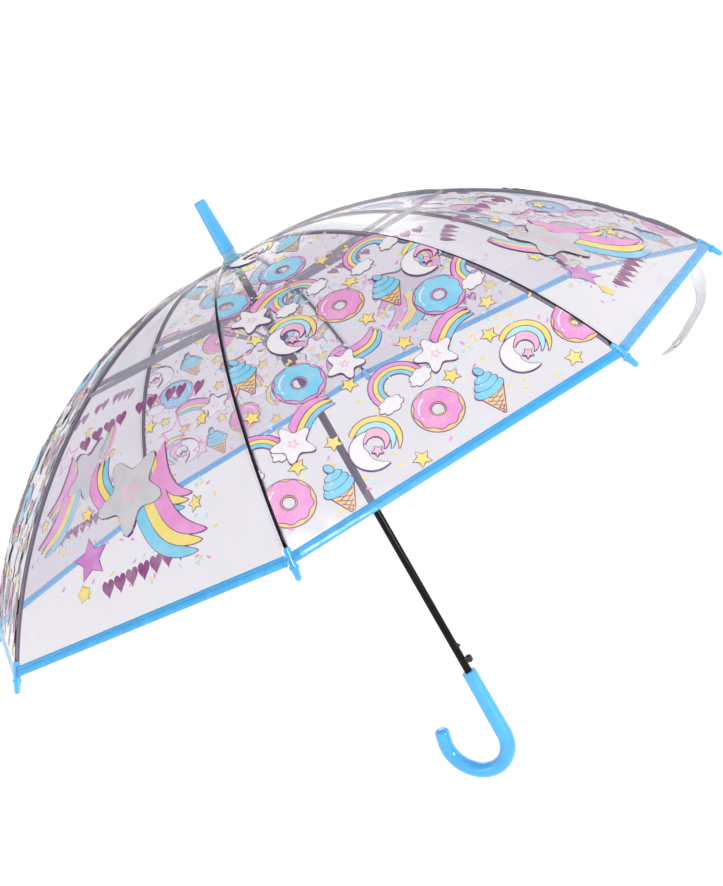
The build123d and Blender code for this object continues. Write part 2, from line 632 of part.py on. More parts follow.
def thickened(points, amount):
    """A panel's line moved outward by a thickness, with its ends kept square."""
    first = atan2(points[1][1] - points[0][1], points[1][0] - points[0][0])
    last = atan2(points[3][1] - points[2][1], points[3][0] - points[2][0])
    lift_first = (-amount * sin(first), amount * cos(first))
    lift_last = (-amount * sin(last), amount * cos(last))
    lifts = (lift_first, lift_first, lift_last, lift_last)
    return [shifted(point, lift) for point, lift in zip(points, lifts)]


film_lower, hem_middle = split_curve(film_under, hem_share)
hem_start, hem_end = hem_middle[0], hem_middle[-1]
hem_slope = degrees(atan2(hem_end[1] - hem_start[1], hem_end[0] - hem_start[0]))
hem_length = hypot(hem_end[0] - hem_start[0], hem_end[1] - hem_start[1])
reach = 1.2 * CANOPY_RADIUS
edge_pull = FILM_GAP / sin(HALF_STEP)


def panel_wedge(angle):
    """Outline of one panel seen from above: the sector between two ribs, less the gap at each."""
    with BuildSketch(Plane.XY.offset(-CANOPY_RADIUS)) as wedge:
        with BuildLine():
            out = Vector(cos(radians(angle)), sin(radians(angle)))
            sides = [angle - STEP / 2, angle + STEP / 2]
            apex = out * edge_pull
            far = [apex + Vector(cos(radians(a)), sin(radians(a))) * reach for a in sides]
            Polyline(apex, *far, close=True)
        make_face()
        Circle(FILM_START_RADIUS, mode=Mode.SUBTRACT)
    return wedge.sketch


for number, angle in enumerate(panel_angles, start=1):
    tips = [tip_plane(side) for side in (angle - STEP / 2, angle + STEP / 2)]
    wedge = panel_wedge(angle)
    pieces = []
    for label in ("film", "hem"):
        with BuildPart() as piece:
            with BuildSketch(radial_plane(angle)):
                if label == "film":
                    with BuildLine():
                        band(thickened(film_lower, FILM_THICKNESS), film_lower)
                    make_face()
                else:
                    with Locations(Location((hem_start[0], hem_start[1], 0), (0, 0, hem_slope))):
                        with Locations((hem_length / 2, FILM_THICKNESS / 2)):
                            Rectangle(hem_length, HEM_THICKNESS)
            extrude(amount=CANOPY_RADIUS / 2, both=True)
            extrude(wedge, amount=3 * CANOPY_RADIUS, mode=Mode.INTERSECT)
            for tip in tips:
                corner = tip.origin - tip.x_dir * (TIP_CAP_INSIDE + 2)
                with BuildSketch(Plane(origin=corner, z_dir=tip.x_dir)):
                    Circle(TIP_CAP_DIAMETER / 2 + CORNER_CLEARANCE)
                extrude(amount=TIP_CAP_INSIDE + TIP_CAP_OUTSIDE, mode=Mode.SUBTRACT)
        piece.part.label = label
        pieces.append(piece.part)
    save(Compound(children=pieces), f"canopy_panel_{number}")

# ---------------------------------------------------------------- tie strap
STRAP_HEADING = 40.4  # degrees from +X, the way the hanging strap swings
STRAP_TWIST = 35.0  # degrees its width is turned out of square with that
STRAP_GAP = 0.6
SNAP_RADIUS = 4.5
SNAP_THICKNESS = 1.5
hem_corner = Vector(CANOPY_RADIUS * cos(HALF_STEP), CANOPY_RADIUS * sin(HALF_STEP), 0)
strap_side = hem_corner.Y * (1 - 2 * STRAP_SHARE)
strap_top = Vector(-hem_corner.X, strap_side, CROWN_HEIGHT - CANOPY_DEPTH - STRAP_GAP)
heading = Vector(cos(radians(STRAP_HEADING)), sin(radians(STRAP_HEADING)), 0)
strap_normal = Vector(heading.Y, -heading.X, 0)
strap_across = strap_normal * cos(radians(STRAP_TWIST)) + heading * sin(radians(STRAP_TWIST))
strap_plane = Plane(origin=strap_top, x_dir=heading, z_dir=strap_normal)
strap_route = [(1.0, -1.0), (3.5, -18.0), (11.0, -31.0), (26.0, -40.5), (46.0, -50.5), (63.0, -54.0)]
with BuildPart() as tie_strap:
    with BuildSketch(strap_plane):
        with BuildLine():
            upper = [shifted(point, polar(STRAP_THICKNESS, 45)) for point in strap_route]
            Spline(*strap_route)
            Spline(*upper)
            Line(strap_route[0], upper[0])
            Line(strap_route[-1], upper[-1])
        make_face()
    extrude(amount=STRAP_WIDTH / 2, dir=strap_across, both=True)
save(tie_strap.part, "tie_strap")

strap_edge = Spline(*[strap_plane.from_local_coords(Vector(x, y, 0)) for x, y in strap_route])
SNAP_SHARE = 0.84
snap_point = strap_edge @ SNAP_SHARE
snap_facing = strap_across.cross(strap_edge % SNAP_SHARE).normalized()
snaps = []
for side in (1, -1):
    face = snap_point + snap_facing * (side * (STRAP_THICKNESS + 0.4))
    with BuildPart() as snap_half:
        with BuildSketch(Plane(origin=face, z_dir=snap_facing * side)):
            Circle(SNAP_RADIUS)
        extrude(amount=SNAP_THICKNESS)
        fillet(snap_half.edges().group_by(SortBy.LENGTH)[-1], 0.4)
    snaps.append(snap_half.part)
save(Compound(children=snaps), "strap_snap")
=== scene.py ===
"""Clear dome umbrella for a child: printed film, hems, springs, strap and finishes on the CAD frame."""

import json
import logging
import math
from dataclasses import dataclass
from enum import Enum
from functools import cached_property
from random import Random
from typing import Callable, Iterator, Sequence

import bmesh
import bpy
from mathutils import Matrix, Vector

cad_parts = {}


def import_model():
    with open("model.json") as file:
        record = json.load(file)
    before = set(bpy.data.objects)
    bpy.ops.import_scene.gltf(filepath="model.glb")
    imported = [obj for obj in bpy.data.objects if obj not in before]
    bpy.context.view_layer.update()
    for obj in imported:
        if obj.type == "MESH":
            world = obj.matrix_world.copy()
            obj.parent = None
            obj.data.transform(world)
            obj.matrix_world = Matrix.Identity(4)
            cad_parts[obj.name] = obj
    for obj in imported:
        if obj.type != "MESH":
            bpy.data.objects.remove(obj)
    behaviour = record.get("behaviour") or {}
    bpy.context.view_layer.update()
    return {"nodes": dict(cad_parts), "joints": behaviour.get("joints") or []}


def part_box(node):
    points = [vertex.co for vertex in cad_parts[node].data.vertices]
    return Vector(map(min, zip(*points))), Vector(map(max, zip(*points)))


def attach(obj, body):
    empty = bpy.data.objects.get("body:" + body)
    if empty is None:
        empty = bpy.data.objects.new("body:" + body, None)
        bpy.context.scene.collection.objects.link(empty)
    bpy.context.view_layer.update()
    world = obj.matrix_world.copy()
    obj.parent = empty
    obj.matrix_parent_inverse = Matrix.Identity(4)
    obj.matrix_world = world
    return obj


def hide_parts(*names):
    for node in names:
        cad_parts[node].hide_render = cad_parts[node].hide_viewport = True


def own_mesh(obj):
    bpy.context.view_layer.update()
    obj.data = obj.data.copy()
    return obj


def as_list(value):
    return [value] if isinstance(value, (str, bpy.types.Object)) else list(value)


log = logging.getLogger("umbrella")

TAU = 2 * math.pi
Colour = tuple[float, float, float]
Flat = tuple[float, float]

RIB_COUNT = 8
STEP = TAU / RIB_COUNT
HALF_STEP = STEP / 2


# ---------------------------------------------------------------- shader graphs
class Signal:
    """A node socket that does arithmetic, so that shader maths reads as Python."""

    def __init__(self, graph: "Graph", socket: bpy.types.NodeSocket) -> None:
        self.graph = graph
        self.socket = socket

    def math(self, operation: str, *others: "Signal | float") -> "Signal":
        """One Math node with this signal as its first input."""
        inputs = dict(enumerate((self, *others)))
        return self.graph.node("ShaderNodeMath", {"operation": operation}, inputs)

    def swapped(self, operation: str, other: float) -> "Signal":
        """One Math node with this signal as its second input."""
        return self.graph.node("ShaderNodeMath", {"operation": operation}, {0: other, 1: self})

    def __add__(self, other: "Signal | float") -> "Signal":
        """Sum."""
        return self.math("ADD", other)

    def __sub__(self, other: "Signal | float") -> "Signal":
        """Difference."""
        return self.math("SUBTRACT", other)

    def __rsub__(self, other: float) -> "Signal":
        """Difference from a number."""
        return self.swapped("SUBTRACT", other)

    def __mul__(self, other: "Signal | float") -> "Signal":
        """Product."""
        return self.math("MULTIPLY", other)

    def __abs__(self) -> "Signal":
        """Size without sign."""
        return self.math("ABSOLUTE")

    def ramp(self, low: float, high: float) -> "Signal":
        """Smooth rise from zero at low to one at high.

        Args:
            low: Signal value where the rise starts.
            high: Signal value where it ends.

        Returns:
            The eased signal, clamped to zero and one.
        """
        settings = {"interpolation_type": "SMOOTHSTEP"}
        return self.graph.node("ShaderNodeMapRange", settings, {0: self, 1: low, 2: high})

    def wave(self, period: float) -> "Signal":
        """Sine of this signal with the given period, from zero to one."""
        return (self * (TAU / period)).math("SINE") * 0.5 + 0.5


class Graph:
    """A new material's node tree with one Principled surface."""

    def __init__(self, name: str) -> None:
        self.material = bpy.data.materials.new(name)
        self.material.use_nodes = True
        self.nodes = self.material.node_tree.nodes
        self.links = self.material.node_tree.links
        self.nodes.clear()
        self.surface = self.nodes.new("ShaderNodeBsdfPrincipled")
        output = self.nodes.new("ShaderNodeOutputMaterial")
        self.links.new(self.surface.outputs[0], output.inputs["Surface"])

    def feed(self, socket: bpy.types.NodeSocket, value: "Signal | float | Sequence[float]") -> None:
        """Links a signal to a socket, or sets the socket's own value."""
        if isinstance(value, Signal):
            self.links.new(value.socket, socket)
        else:
            socket.default_value = value

    def node(self, kind: str, settings: dict, inputs: dict, output: int | str = 0) -> Signal:
        """Adds any node.

        Args:
            kind: Node type.
            settings: Node properties by name.
            inputs: Signals or constants by socket name or number.
            output: Which output socket to hand back.

        Returns:
            The chosen output as a signal.
        """
        made = self.nodes.new(kind)
        for name, value in settings.items():
            setattr(made, name, value)
        for name, value in inputs.items():
            self.feed(made.inputs[name], value)
        return Signal(self, made.outputs[output])

    def set(self, **values: "Signal | float | Sequence[float]") -> None:
        """Feeds the surface's sockets, named with underscores for spaces."""
        for name, value in values.items():
            self.feed(self.surface.inputs[name.replace("_", " ")], value)

    @cached_property
    def place(self) -> Signal:
        """Object coordinates."""
        return self.node("ShaderNodeTexCoord", {}, {}, "Object")

    def attribute(self, name: str) -> Signal:
        """A number that the mesh carries at its points."""
        return self.node("ShaderNodeAttribute", {"attribute_name": name}, {}, "Fac")

    def noise(self, scale: float, detail: float = 3.0, stretch: Sequence[float] = (1, 1, 1)) -> Signal:
        """Noise over object coordinates.

        Args:
            scale: Features per metre.
            detail: Octaves.
            stretch: How many times finer along each axis.

        Returns:
            Noise from about zero to one.
        """
        settings = {"operation": "MULTIPLY"}
        spread = self.node("ShaderNodeVectorMath", settings, {0: self.place, 1: stretch})
        inputs = {"Vector": spread, "Scale": scale, "Detail": detail}
        return self.node("ShaderNodeTexNoise", {}, inputs, "Fac")

    def mix(self, factor: Signal, low: Sequence[float], high: Sequence[float]) -> Signal:
        """Colour that goes from low to high with the factor."""
        inputs = {0: factor, 6: (*low, 1), 7: (*high, 1)}
        return self.node("ShaderNodeMix", {"data_type": "RGBA"}, inputs, 2)

    def bump(self, height: Signal, depth: float, strength: float = 1.0) -> None:
        """Turns a height into the surface's normal; depth is in metres."""
        inputs = {"Height": height, "Distance": depth, "Strength": strength}
        self.set(Normal=self.node("ShaderNodeBump", {}, inputs))


@dataclass(frozen=True)
class Finish:
    """What every finish has: a name and a base colour."""

    name: str
    colour: Colour

    def shade(self, share: float) -> Colour:
        """The base colour times a share."""
        return tuple(channel * share for channel in self.colour)

    def paint(self, graph: Graph) -> None:
        """Fills the graph; each kind of finish has its own."""
        raise NotImplementedError

    @cached_property
    def material(self) -> bpy.types.Material:
        """The material, made once."""
        graph = Graph(self.name)
        self.paint(graph)
        return graph.material


@dataclass(frozen=True)
class MouldedPlastic(Finish):
    """Glossy injection-moulded plastic with faint flow marks and fine scuffs."""

    roughness: float = 0.16
    coat: float = 0.5
    clear: float = 1.0

    def paint(self, graph: Graph) -> None:
        """Flow marks in the colour, scuffs in the gloss, orange peel in the normal."""
        flow = graph.noise(28, 2)
        scuffs = graph.noise(900, 4, (1, 1, 0.12)).ramp(0.58, 0.8)
        graph.set(
            Base_Color=graph.mix(flow.ramp(0.3, 0.7), self.shade(0.9), self.shade(1.04)),
            Roughness=scuffs * 0.16 + self.roughness,
            Coat_Weight=self.coat,
            Coat_Roughness=0.05,
            Alpha=flow * 0.1 + (self.clear - 0.1) if self.clear < 1 else 1.0,
        )
        graph.bump(graph.noise(420, 1), 0.00003)


@dataclass(frozen=True)
class Paint(Finish):
    """Glossy stove enamel over steel, thinned to bare metal in fine rubs."""

    roughness: float = 0.1
    metal: Colour = (0.3, 0.3, 0.31)

    def paint(self, graph: Graph) -> None:
        """Enamel with rubs along the length."""
        rubs = graph.noise(700, 5, (1, 1, 0.06)).ramp(0.72, 0.86)
        graph.set(
            Base_Color=graph.mix(rubs * 0.25, self.colour, self.metal),
            Metallic=rubs * 0.4,
            Roughness=graph.noise(160, 3).ramp(0.2, 0.9) * 0.1 + self.roughness,
            Specular_IOR_Level=0.16,
        )
        graph.bump(graph.noise(600, 1), 0.00002)


@dataclass(frozen=True)
class Plating(Finish):
    """Zinc-plated rolled steel with a drawn grain and dull spots."""

    roughness: float = 0.34
    grain: Colour = (1, 1, 0.05)

    def paint(self, graph: Graph) -> None:
        """Grain in the gloss and the normal, dull spots in the colour."""
        grain = graph.noise(1600, 3, self.grain)
        spots = graph.noise(90, 4).ramp(0.45, 0.75)
        graph.set(
            Base_Color=graph.mix(spots, self.colour, self.shade(0.72)),
            Metallic=0.85,
            Roughness=grain * 0.2 + spots * 0.12 + (self.roughness - 0.1),
        )
        graph.bump(grain, 0.00002)


@dataclass(frozen=True)
class ClearFilm(Finish):
    """Clear plastic film: a milky haze that deepens at the welds, with soft creases."""

    haze: float = 0.3
    weld: float = 0.16

    def paint(self, graph: Graph) -> None:
        """Haze and welds in the alpha, handling marks in the gloss, creases in the normal."""
        edge = graph.attribute("edge")
        cloud = graph.noise(7, 3).ramp(0.25, 0.8)
        marks = graph.noise(45, 5).ramp(0.55, 0.8)
        over_rib = edge.ramp(0.0012, 0.0024)
        seam = over_rib * (1 - edge.ramp(0.0035, 0.0048))
        veil = cloud * 0.05 + marks * 0.02 + (self.haze - 0.03)
        graph.set(
            Base_Color=graph.mix(cloud, self.colour, self.shade(0.93)),
            Alpha=veil * (over_rib * 0.8 + 0.2) + seam * self.weld,
            Roughness=marks * 0.2 + cloud * 0.08 + 0.1,
            Specular_IOR_Level=0.5,
        )
        creases = graph.noise(16, 2, (1, 1, 0.35)) + graph.noise(60, 3) * 0.12
        graph.bump(creases, 0.006, 0.55)


@dataclass(frozen=True)
class HemTape(Finish):
    """Coloured vinyl tape folded over the film's edge and welded along two lines."""

    def paint(self, graph: Graph) -> None:
        """Weld lines along the tape, small weld ticks across it, and a soft mottle."""
        across = graph.attribute("across")
        along = graph.attribute("along")
        line = 1 - abs(across - 0.62).ramp(0.05, 0.12)
        ticks = along.wave(0.0024) * (1 - abs(across - 0.62).ramp(0.1, 0.16))
        mottle = graph.noise(120, 4).ramp(0.3, 0.75)
        graph.set(
            Base_Color=graph.mix(mottle * 0.4 + line * 0.6, self.colour, self.shade(0.72)),
            Roughness=mottle * 0.15 + 0.22,
            Alpha=0.98 - mottle * 0.06,
            Coat_Weight=0.25,
        )
        graph.bump(ticks * 0.6 + graph.noise(240, 2) * 0.4 - line, 0.00012)


@dataclass(frozen=True)
class Print(Finish):
    """Screen-printed ink, with the slight mottle of ink on film."""

    fade: float = 0.08

    def paint(self, graph: Graph) -> None:
        """Mottle in the colour and the gloss."""
        mottle = graph.noise(500, 4).ramp(0.35, 0.75)
        wash = graph.noise(60, 2).ramp(0.3, 0.7)
        pale = tuple(channel + (1 - channel) * 0.2 for channel in self.colour)
        graph.set(
            Base_Color=graph.mix(wash * 0.7 + mottle * 0.3, self.colour, pale),
            Roughness=mottle * 0.2 + 0.35,
            Alpha=1 - mottle * self.fade,
        )


class Ink(Enum):
    """The print's colours, each with its finish."""

    LINE = Print("ink_line", (0.17, 0.035, 0.19))
    PINK = Print("ink_pink", (0.83, 0.29, 0.66))
    ROSE = Print("ink_rose", (0.9, 0.47, 0.66))
    SKY = Print("ink_sky", (0.18, 0.62, 0.86))
    AQUA = Print("ink_aqua", (0.42, 0.8, 0.91))
    YELLOW = Print("ink_yellow", (0.93, 0.73, 0.16))
    WAFFLE = Print("ink_waffle", (0.91, 0.6, 0.2))
    WHITE = Print("ink_white", (0.86, 0.83, 0.87))
    GREY = Print("ink_grey", (0.6, 0.58, 0.62))
    PLUM = Print("ink_plum", (0.25, 0.02, 0.19))
    ORCHID = Print("ink_orchid", (0.62, 0.19, 0.58))


@dataclass(frozen=True)
class Finishes:
    """The finishes of the whole umbrella."""

    sky_plastic: Finish = MouldedPlastic("sky_plastic", (0.06, 0.46, 0.93), 0.14, 0.7)
    clear_sky: Finish = MouldedPlastic("clear_sky_plastic", (0.25, 0.62, 0.88), 0.12, 0.6, 0.75)
    black_plastic: Finish = MouldedPlastic("black_plastic", (0.006, 0.006, 0.007), 0.16, 0.1)
    white_plastic: Finish = MouldedPlastic("white_plastic", (0.8, 0.8, 0.79), 0.25, 0.3)
    enamel: Finish = Paint("black_enamel", (0.004, 0.004, 0.005))
    zinc: Finish = Plating("zinc_plate", (0.36, 0.37, 0.4))
    spring_steel: Finish = Plating("spring_steel", (0.5, 0.5, 0.52), 0.28)
    film: Finish = ClearFilm("clear_film", (0.45, 0.385, 0.53), 0.37)
    vinyl: Finish = ClearFilm("clear_vinyl", (0.8, 0.8, 0.84), 0.5, 0.0)
    hem: Finish = HemTape("hem_tape", (0.055, 0.45, 0.92))


def new_object(name: str, mesh: bmesh.types.BMesh, finishes: Sequence[Finish]) -> bpy.types.Object:
    """Makes an object from a finished bmesh.

    Args:
        name: Piece name.
        mesh: The mesh, in the row frame; it is freed.
        finishes: One finish for each material index in the mesh.

    Returns:
        The object, at the origin, smooth shaded.
    """
    data = bpy.data.meshes.new(name)
    mesh.to_mesh(data)
    mesh.free()
    data.shade_smooth()
    for finish in finishes:
        data.materials.append(finish.material)
    made = bpy.data.objects.new(name, data)
    bpy.context.scene.collection.objects.link(made)
    log.info("%s: %d faces", name, len(data.polygons))
    return made


# ---------------------------------------------------------------- canopy shape
@dataclass(frozen=True)
class CanopyShape:
    """The canopy's line over a rib, a cubic curve, and its sizes in metres."""

    radius: float = 0.405
    depth: float = 0.2085
    crown: float = 0.474
    hole: float = 0.0081
    crown_slope: float = math.radians(7.2)
    hem_slope: float = math.radians(57.7)
    stations: int = 72
    sag: float = 0.0045
    tip_length: float = 0.0165
    tip_room: float = 0.0038
    rib_room: float = 0.0004

    @cached_property
    def profile(self) -> list[Vector]:
        """Points up the middle of a panel (x out, y up, z the line over the rib's own x)."""
        start = Vector((self.hole, self.crown))
        end = Vector((self.radius, self.crown - self.depth))
        arm = (end - start).length / 3
        leave = start + arm * Vector((math.cos(self.crown_slope), math.sin(self.crown_slope)))
        arrive = end - arm * Vector((math.cos(self.hem_slope), -math.sin(self.hem_slope)))
        points = []
        for index in range(self.stations + 1):
            share = index / self.stations
            rest = 1 - share
            line = start * rest**3 + leave * (3 * rest**2 * share)
            line += arrive * (3 * rest * share**2) + end * share**3
            points.append(Vector((line.x * math.cos(HALF_STEP), line.y, line.x)))
        return points

    @cached_property
    def distances(self) -> list[float]:
        """Distance down the film from the crown at each profile point."""
        total = [0.0]
        for before, after in zip(self.profile, self.profile[1:]):
            total.append(total[-1] + (after.xy - before.xy).length)
        return total

    @property
    def length(self) -> float:
        """Film length from crown hole to hem."""
        return self.distances[-1]

    def station(self, down: float) -> tuple[int, float]:
        """The profile stretch that holds a distance down the film, and the share along it."""
        index = 0
        while index < self.stations - 1 and self.distances[index + 1] < down:
            index += 1
        span = self.distances[index + 1] - self.distances[index]
        return index, (down - self.distances[index]) / span

    def half_width(self, down: float) -> float:
        """Half the panel's width at a distance down the film."""
        index, share = self.station(down)
        line = self.profile[index].lerp(self.profile[index + 1], share)
        return line.z * math.sin(HALF_STEP)

    def edge(self, down: float) -> float:
        """Half the film's width, clear of the ribs and of their tips."""
        near = (down - (self.length - self.tip_length)) / 0.002
        ease = min(1.0, max(0.0, near))
        return self.half_width(down) - self.rib_room - self.tip_room * ease


@dataclass(frozen=True)
class Gore:
    """One panel of film, numbered from one; flat points are (across, down) in metres."""

    number: int
    shape: CanopyShape

    @property
    def azimuth(self) -> float:
        """Direction of the panel's middle."""
        return self.number * STEP

    @property
    def across(self) -> Vector:
        """Direction across the panel."""
        return Vector((-math.sin(self.azimuth), math.cos(self.azimuth), 0))

    @property
    def body(self) -> str:
        """The CAD body that the panel is part of."""
        return f"canopy_{self.number}"

    @property
    def film(self) -> str:
        """The name of the panel's film."""
        return f"film_{self.number}"

    @property
    def ribs(self) -> list[str]:
        """The two ribs under the panel's edges."""
        return [f"rib_{self.number}", f"rib_{self.number % RIB_COUNT + 1}"]

    def place(self, side: float, down: float, lift: float = 0.0) -> Vector:
        """Where a flat point of the film lies on the open umbrella.

        Args:
            side: Metres across the panel from its middle.
            down: Metres down the film from the crown hole.
            lift: Metres outward from the film's middle surface.

        Returns:
            The point in the row frame.
        """
        shape = self.shape
        index, share = shape.station(down)
        line = shape.profile[index].lerp(shape.profile[index + 1], share)
        slope = (shape.profile[index + 1].xy - shape.profile[index].xy).normalized()
        half = shape.half_width(down)
        swell = max(0.0, math.sin(math.pi * down / shape.length)) ** 0.7
        dip = shape.sag * (1 - (side / half) ** 2) * swell
        out = line.x + slope.y * (dip - lift)
        up = line.y - slope.x * (dip - lift)
        outward = Vector((math.cos(self.azimuth), math.sin(self.azimuth), 0))
        return outward * out + self.across * side + Vector((0, 0, up))

    def soften(self, piece: bpy.types.Object, slot: str = "film", keep: float = 0.09) -> None:
        """Lets a piece ride with the panel.

        Args:
            piece: A piece of the panel.
            slot: Not used.
            keep: Not used.
        """
        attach(piece, self.body)
        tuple(self.across)
        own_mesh(piece)


# ---------------------------------------------------------------- printed figures
class Stencil:
    """Flat printed shapes in film coordinates: x across, y down the panel, z the layer."""

    def __init__(self) -> None:
        self.mesh = bmesh.new()

    def ink(self, verts: Sequence[bmesh.types.BMVert], ink: Ink) -> None:
        """Gives the faces of new points their ink."""
        for face in {face for vert in verts for face in vert.link_faces}:
            face.material_index = list(Ink).index(ink)

    def fit(self, gore: Gore, margin: float, cell: Flat = (0.012, 0.0062)) -> None:
        """Cuts the shapes on a grid, so that they can bend with the film, and trims them to the panel.

        Args:
            gore: The panel that they are printed on.
            margin: Bare film left along each rib.
            cell: Size of the cutting grid across and down the film.
        """
        bmesh.ops.triangulate(self.mesh, faces=self.mesh.faces[:], ngon_method="EAR_CLIP")
        half = gore.shape.half_width(gore.shape.length)
        across = math.ceil(half / cell[0])
        lines = [
            (Vector((index * cell[0], 0, 0)), Vector((1, 0, 0))) for index in range(-across, across + 1)
        ]
        lines += [(Vector((0, down, 0)), Vector((0, 1, 0))) for down in gore.shape.distances]
        for origin, normal in lines:
            parts = self.mesh.verts[:] + self.mesh.edges[:] + self.mesh.faces[:]
            bmesh.ops.bisect_plane(self.mesh, geom=parts, dist=1e-7, plane_co=origin, plane_no=normal)
        lowest = gore.shape.length - 0.0095

        def inside(vert: bmesh.types.BMVert) -> bool:
            return abs(vert.co.x) < gore.shape.edge(vert.co.y) - margin and vert.co.y < lowest

        outside = [face for face in self.mesh.faces if not any(inside(vert) for vert in face.verts)]
        bmesh.ops.delete(self.mesh, geom=outside, context="FACES")
        for vert in self.mesh.verts:
            limit = gore.shape.edge(vert.co.y) - margin
            vert.co.x = min(limit, max(-limit, vert.co.x))
            vert.co.y = min(lowest, vert.co.y)
        bmesh.ops.dissolve_degenerate(self.mesh, edges=self.mesh.edges[:], dist=1e-6)

    def apply(self, gore: Gore, lift: float) -> None:
        """Bends the shapes onto the film, on its outside and, turned over, on its inside.

        Args:
            gore: The panel that they are printed on.
            lift: How far each layer stands off the one below it.
        """
        under = bmesh.ops.duplicate(self.mesh, geom=self.mesh.faces[:])["geom"]
        back = {part for part in under if isinstance(part, bmesh.types.BMVert)}
        for vert in self.mesh.verts:
            side = -1 if vert in back else 1
            vert.co = gore.place(vert.co.x, vert.co.y, side * lift * (1 + vert.co.z))
        front = [face for face in self.mesh.faces if face.verts[0] not in back]
        away = gore.place(0, gore.shape.length / 2, 1) - gore.place(0, gore.shape.length / 2)
        self.mesh.normal_update()
        wrong = [face for face in front if face.normal.dot(away) < 0]
        wrong += [face for face in self.mesh.faces if face.verts[0] in back and face.normal.dot(away) > 0]
        bmesh.ops.reverse_faces(self.mesh, faces=wrong)


@dataclass(frozen=True)
class Pen:
    """Draws on a stencil about a centre; its own points have y up the panel and one as the figure's size."""

    stencil: Stencil
    centre: Flat
    size: float
    turn: float = 0.0
    layer: float = 0.0

    def at(self, x: float, y: float) -> Vector:
        """A figure's point in film coordinates."""
        cos, sin = math.cos(self.turn), math.sin(self.turn)
        side = self.centre[0] + self.size * (x * cos - y * sin)
        down = self.centre[1] - self.size * (x * sin + y * cos)
        return Vector((side, down, self.layer))

    def moved(self, x: float, y: float, size: float = 1.0, turn: float = 0.0) -> "Pen":
        """A pen for a smaller part of the figure."""
        place = self.at(x, y)
        return Pen(self.stencil, (place.x, place.y), self.size * size, self.turn + turn, self.layer)

    def above(self, layers: float = 1.0) -> "Pen":
        """The same pen some layers higher."""
        return Pen(self.stencil, self.centre, self.size, self.turn, self.layer + layers)

    def patch(self, ink: Ink, outline: Callable[[float], Flat], corners: int = 28) -> None:
        """Fills a closed outline.

        Args:
            ink: Its colour.
            outline: Point of the outline at an angle in radians.
            corners: How many points the outline gets.
        """
        made = bmesh.ops.create_circle(self.stencil.mesh, cap_ends=True, segments=corners, radius=1)["verts"]
        for index, vert in enumerate(made):
            vert.co = self.at(*outline(index / corners * TAU))
        self.stencil.ink(made, ink)

    def strip(self, ink: Ink, rail: Callable[[float, float], Flat], steps: int = 20) -> None:
        """Fills a band between two rails.

        Args:
            ink: Its colour.
            rail: Point at a share along the band, on its side minus one or one.
            steps: How many stretches the band has.
        """
        made = bmesh.ops.create_grid(self.stencil.mesh, x_segments=steps, y_segments=1, size=1)["verts"]
        for vert in made:
            vert.co = self.at(*rail((vert.co.x + 1) / 2, math.copysign(1, vert.co.y)))
        self.stencil.ink(made, ink)

    def ring(self, ink: Ink, inner: float, outer: float, start: float = 0.0, turn: float = TAU) -> None:
        """Fills a stretch of a ring about the pen's centre."""

        def rail(share: float, side: float) -> Flat:
            radius = outer if side > 0 else inner
            angle = start + turn * share
            return radius * math.cos(angle), radius * math.sin(angle)

        self.strip(ink, rail, 28)

    def line(self, ends: Sequence[Flat], width: float, ink: Ink = Ink.LINE) -> None:
        """A straight line between two points."""
        start, end = Vector(ends[0]), Vector(ends[1])
        across = (end - start).orthogonal().normalized() * width / 2
        self.strip(ink, lambda share, side: tuple(start.lerp(end, share) + across * side), 1)


Radius = Callable[[float], float]


def polar(radius: Radius, stretch: Flat = (1.0, 1.0)) -> Callable[[float], Flat]:
    """Outline whose distance from the centre is a formula of the angle."""

    def outline(angle: float) -> Flat:
        reach = radius(angle)
        return reach * math.cos(angle) * stretch[0], reach * math.sin(angle) * stretch[1]

    return outline


@dataclass(frozen=True)
class Figure:
    """A printed figure; size is half its width in metres."""

    line: float = 0.0009

    def draw(self, pen: Pen) -> None:
        """Draws the figure; each kind has its own."""
        raise NotImplementedError

    def outlined(
        self, pen: Pen, ink: Ink, radius: Radius, stretch: Flat = (1.0, 1.0), corners: int = 28
    ) -> None:
        """A filled shape with a dark line round it."""
        edge = self.line / pen.size
        pen.patch(Ink.LINE, polar(lambda angle: radius(angle) + edge, stretch), corners)
        pen.above().patch(ink, polar(radius, stretch), corners)


@dataclass(frozen=True)
class Star(Figure):
    """A five-pointed star, filled, or an open outline of it in one ink."""

    ink: Ink = Ink.YELLOW
    hollow: float = 0.0

    def radius(self, angle: float) -> float:
        """Distance to the outline: far at five points, near between them."""
        return 1.0 if math.cos(5 * angle) > 0 else 0.48

    def draw(self, pen: Pen) -> None:
        """A star with one point up."""
        turned = pen.moved(0, 0, 1.0, math.pi / 2)
        if not self.hollow:
            self.outlined(turned, self.ink, self.radius, corners=10)
            return

        def rail(share: float, side: float) -> Flat:
            angle = share * TAU
            reach = self.radius(angle) * (1 if side > 0 else 1 - self.hollow)
            return reach * math.cos(angle), reach * math.sin(angle)

        turned.strip(self.ink, rail, 10)


@dataclass(frozen=True)
class Heart(Figure):
    """A plain heart in one ink."""

    ink: Ink = Ink.PLUM
    height: float = 1.35

    def draw(self, pen: Pen) -> None:
        """The usual heart curve."""

        def outline(angle: float) -> Flat:
            up = 13 * math.cos(angle) - 5 * math.cos(2 * angle)
            up -= 2 * math.cos(3 * angle) + math.cos(4 * angle)
            return math.sin(angle) ** 3, up / 16 * self.height

        pen.patch(self.ink, outline, 24)


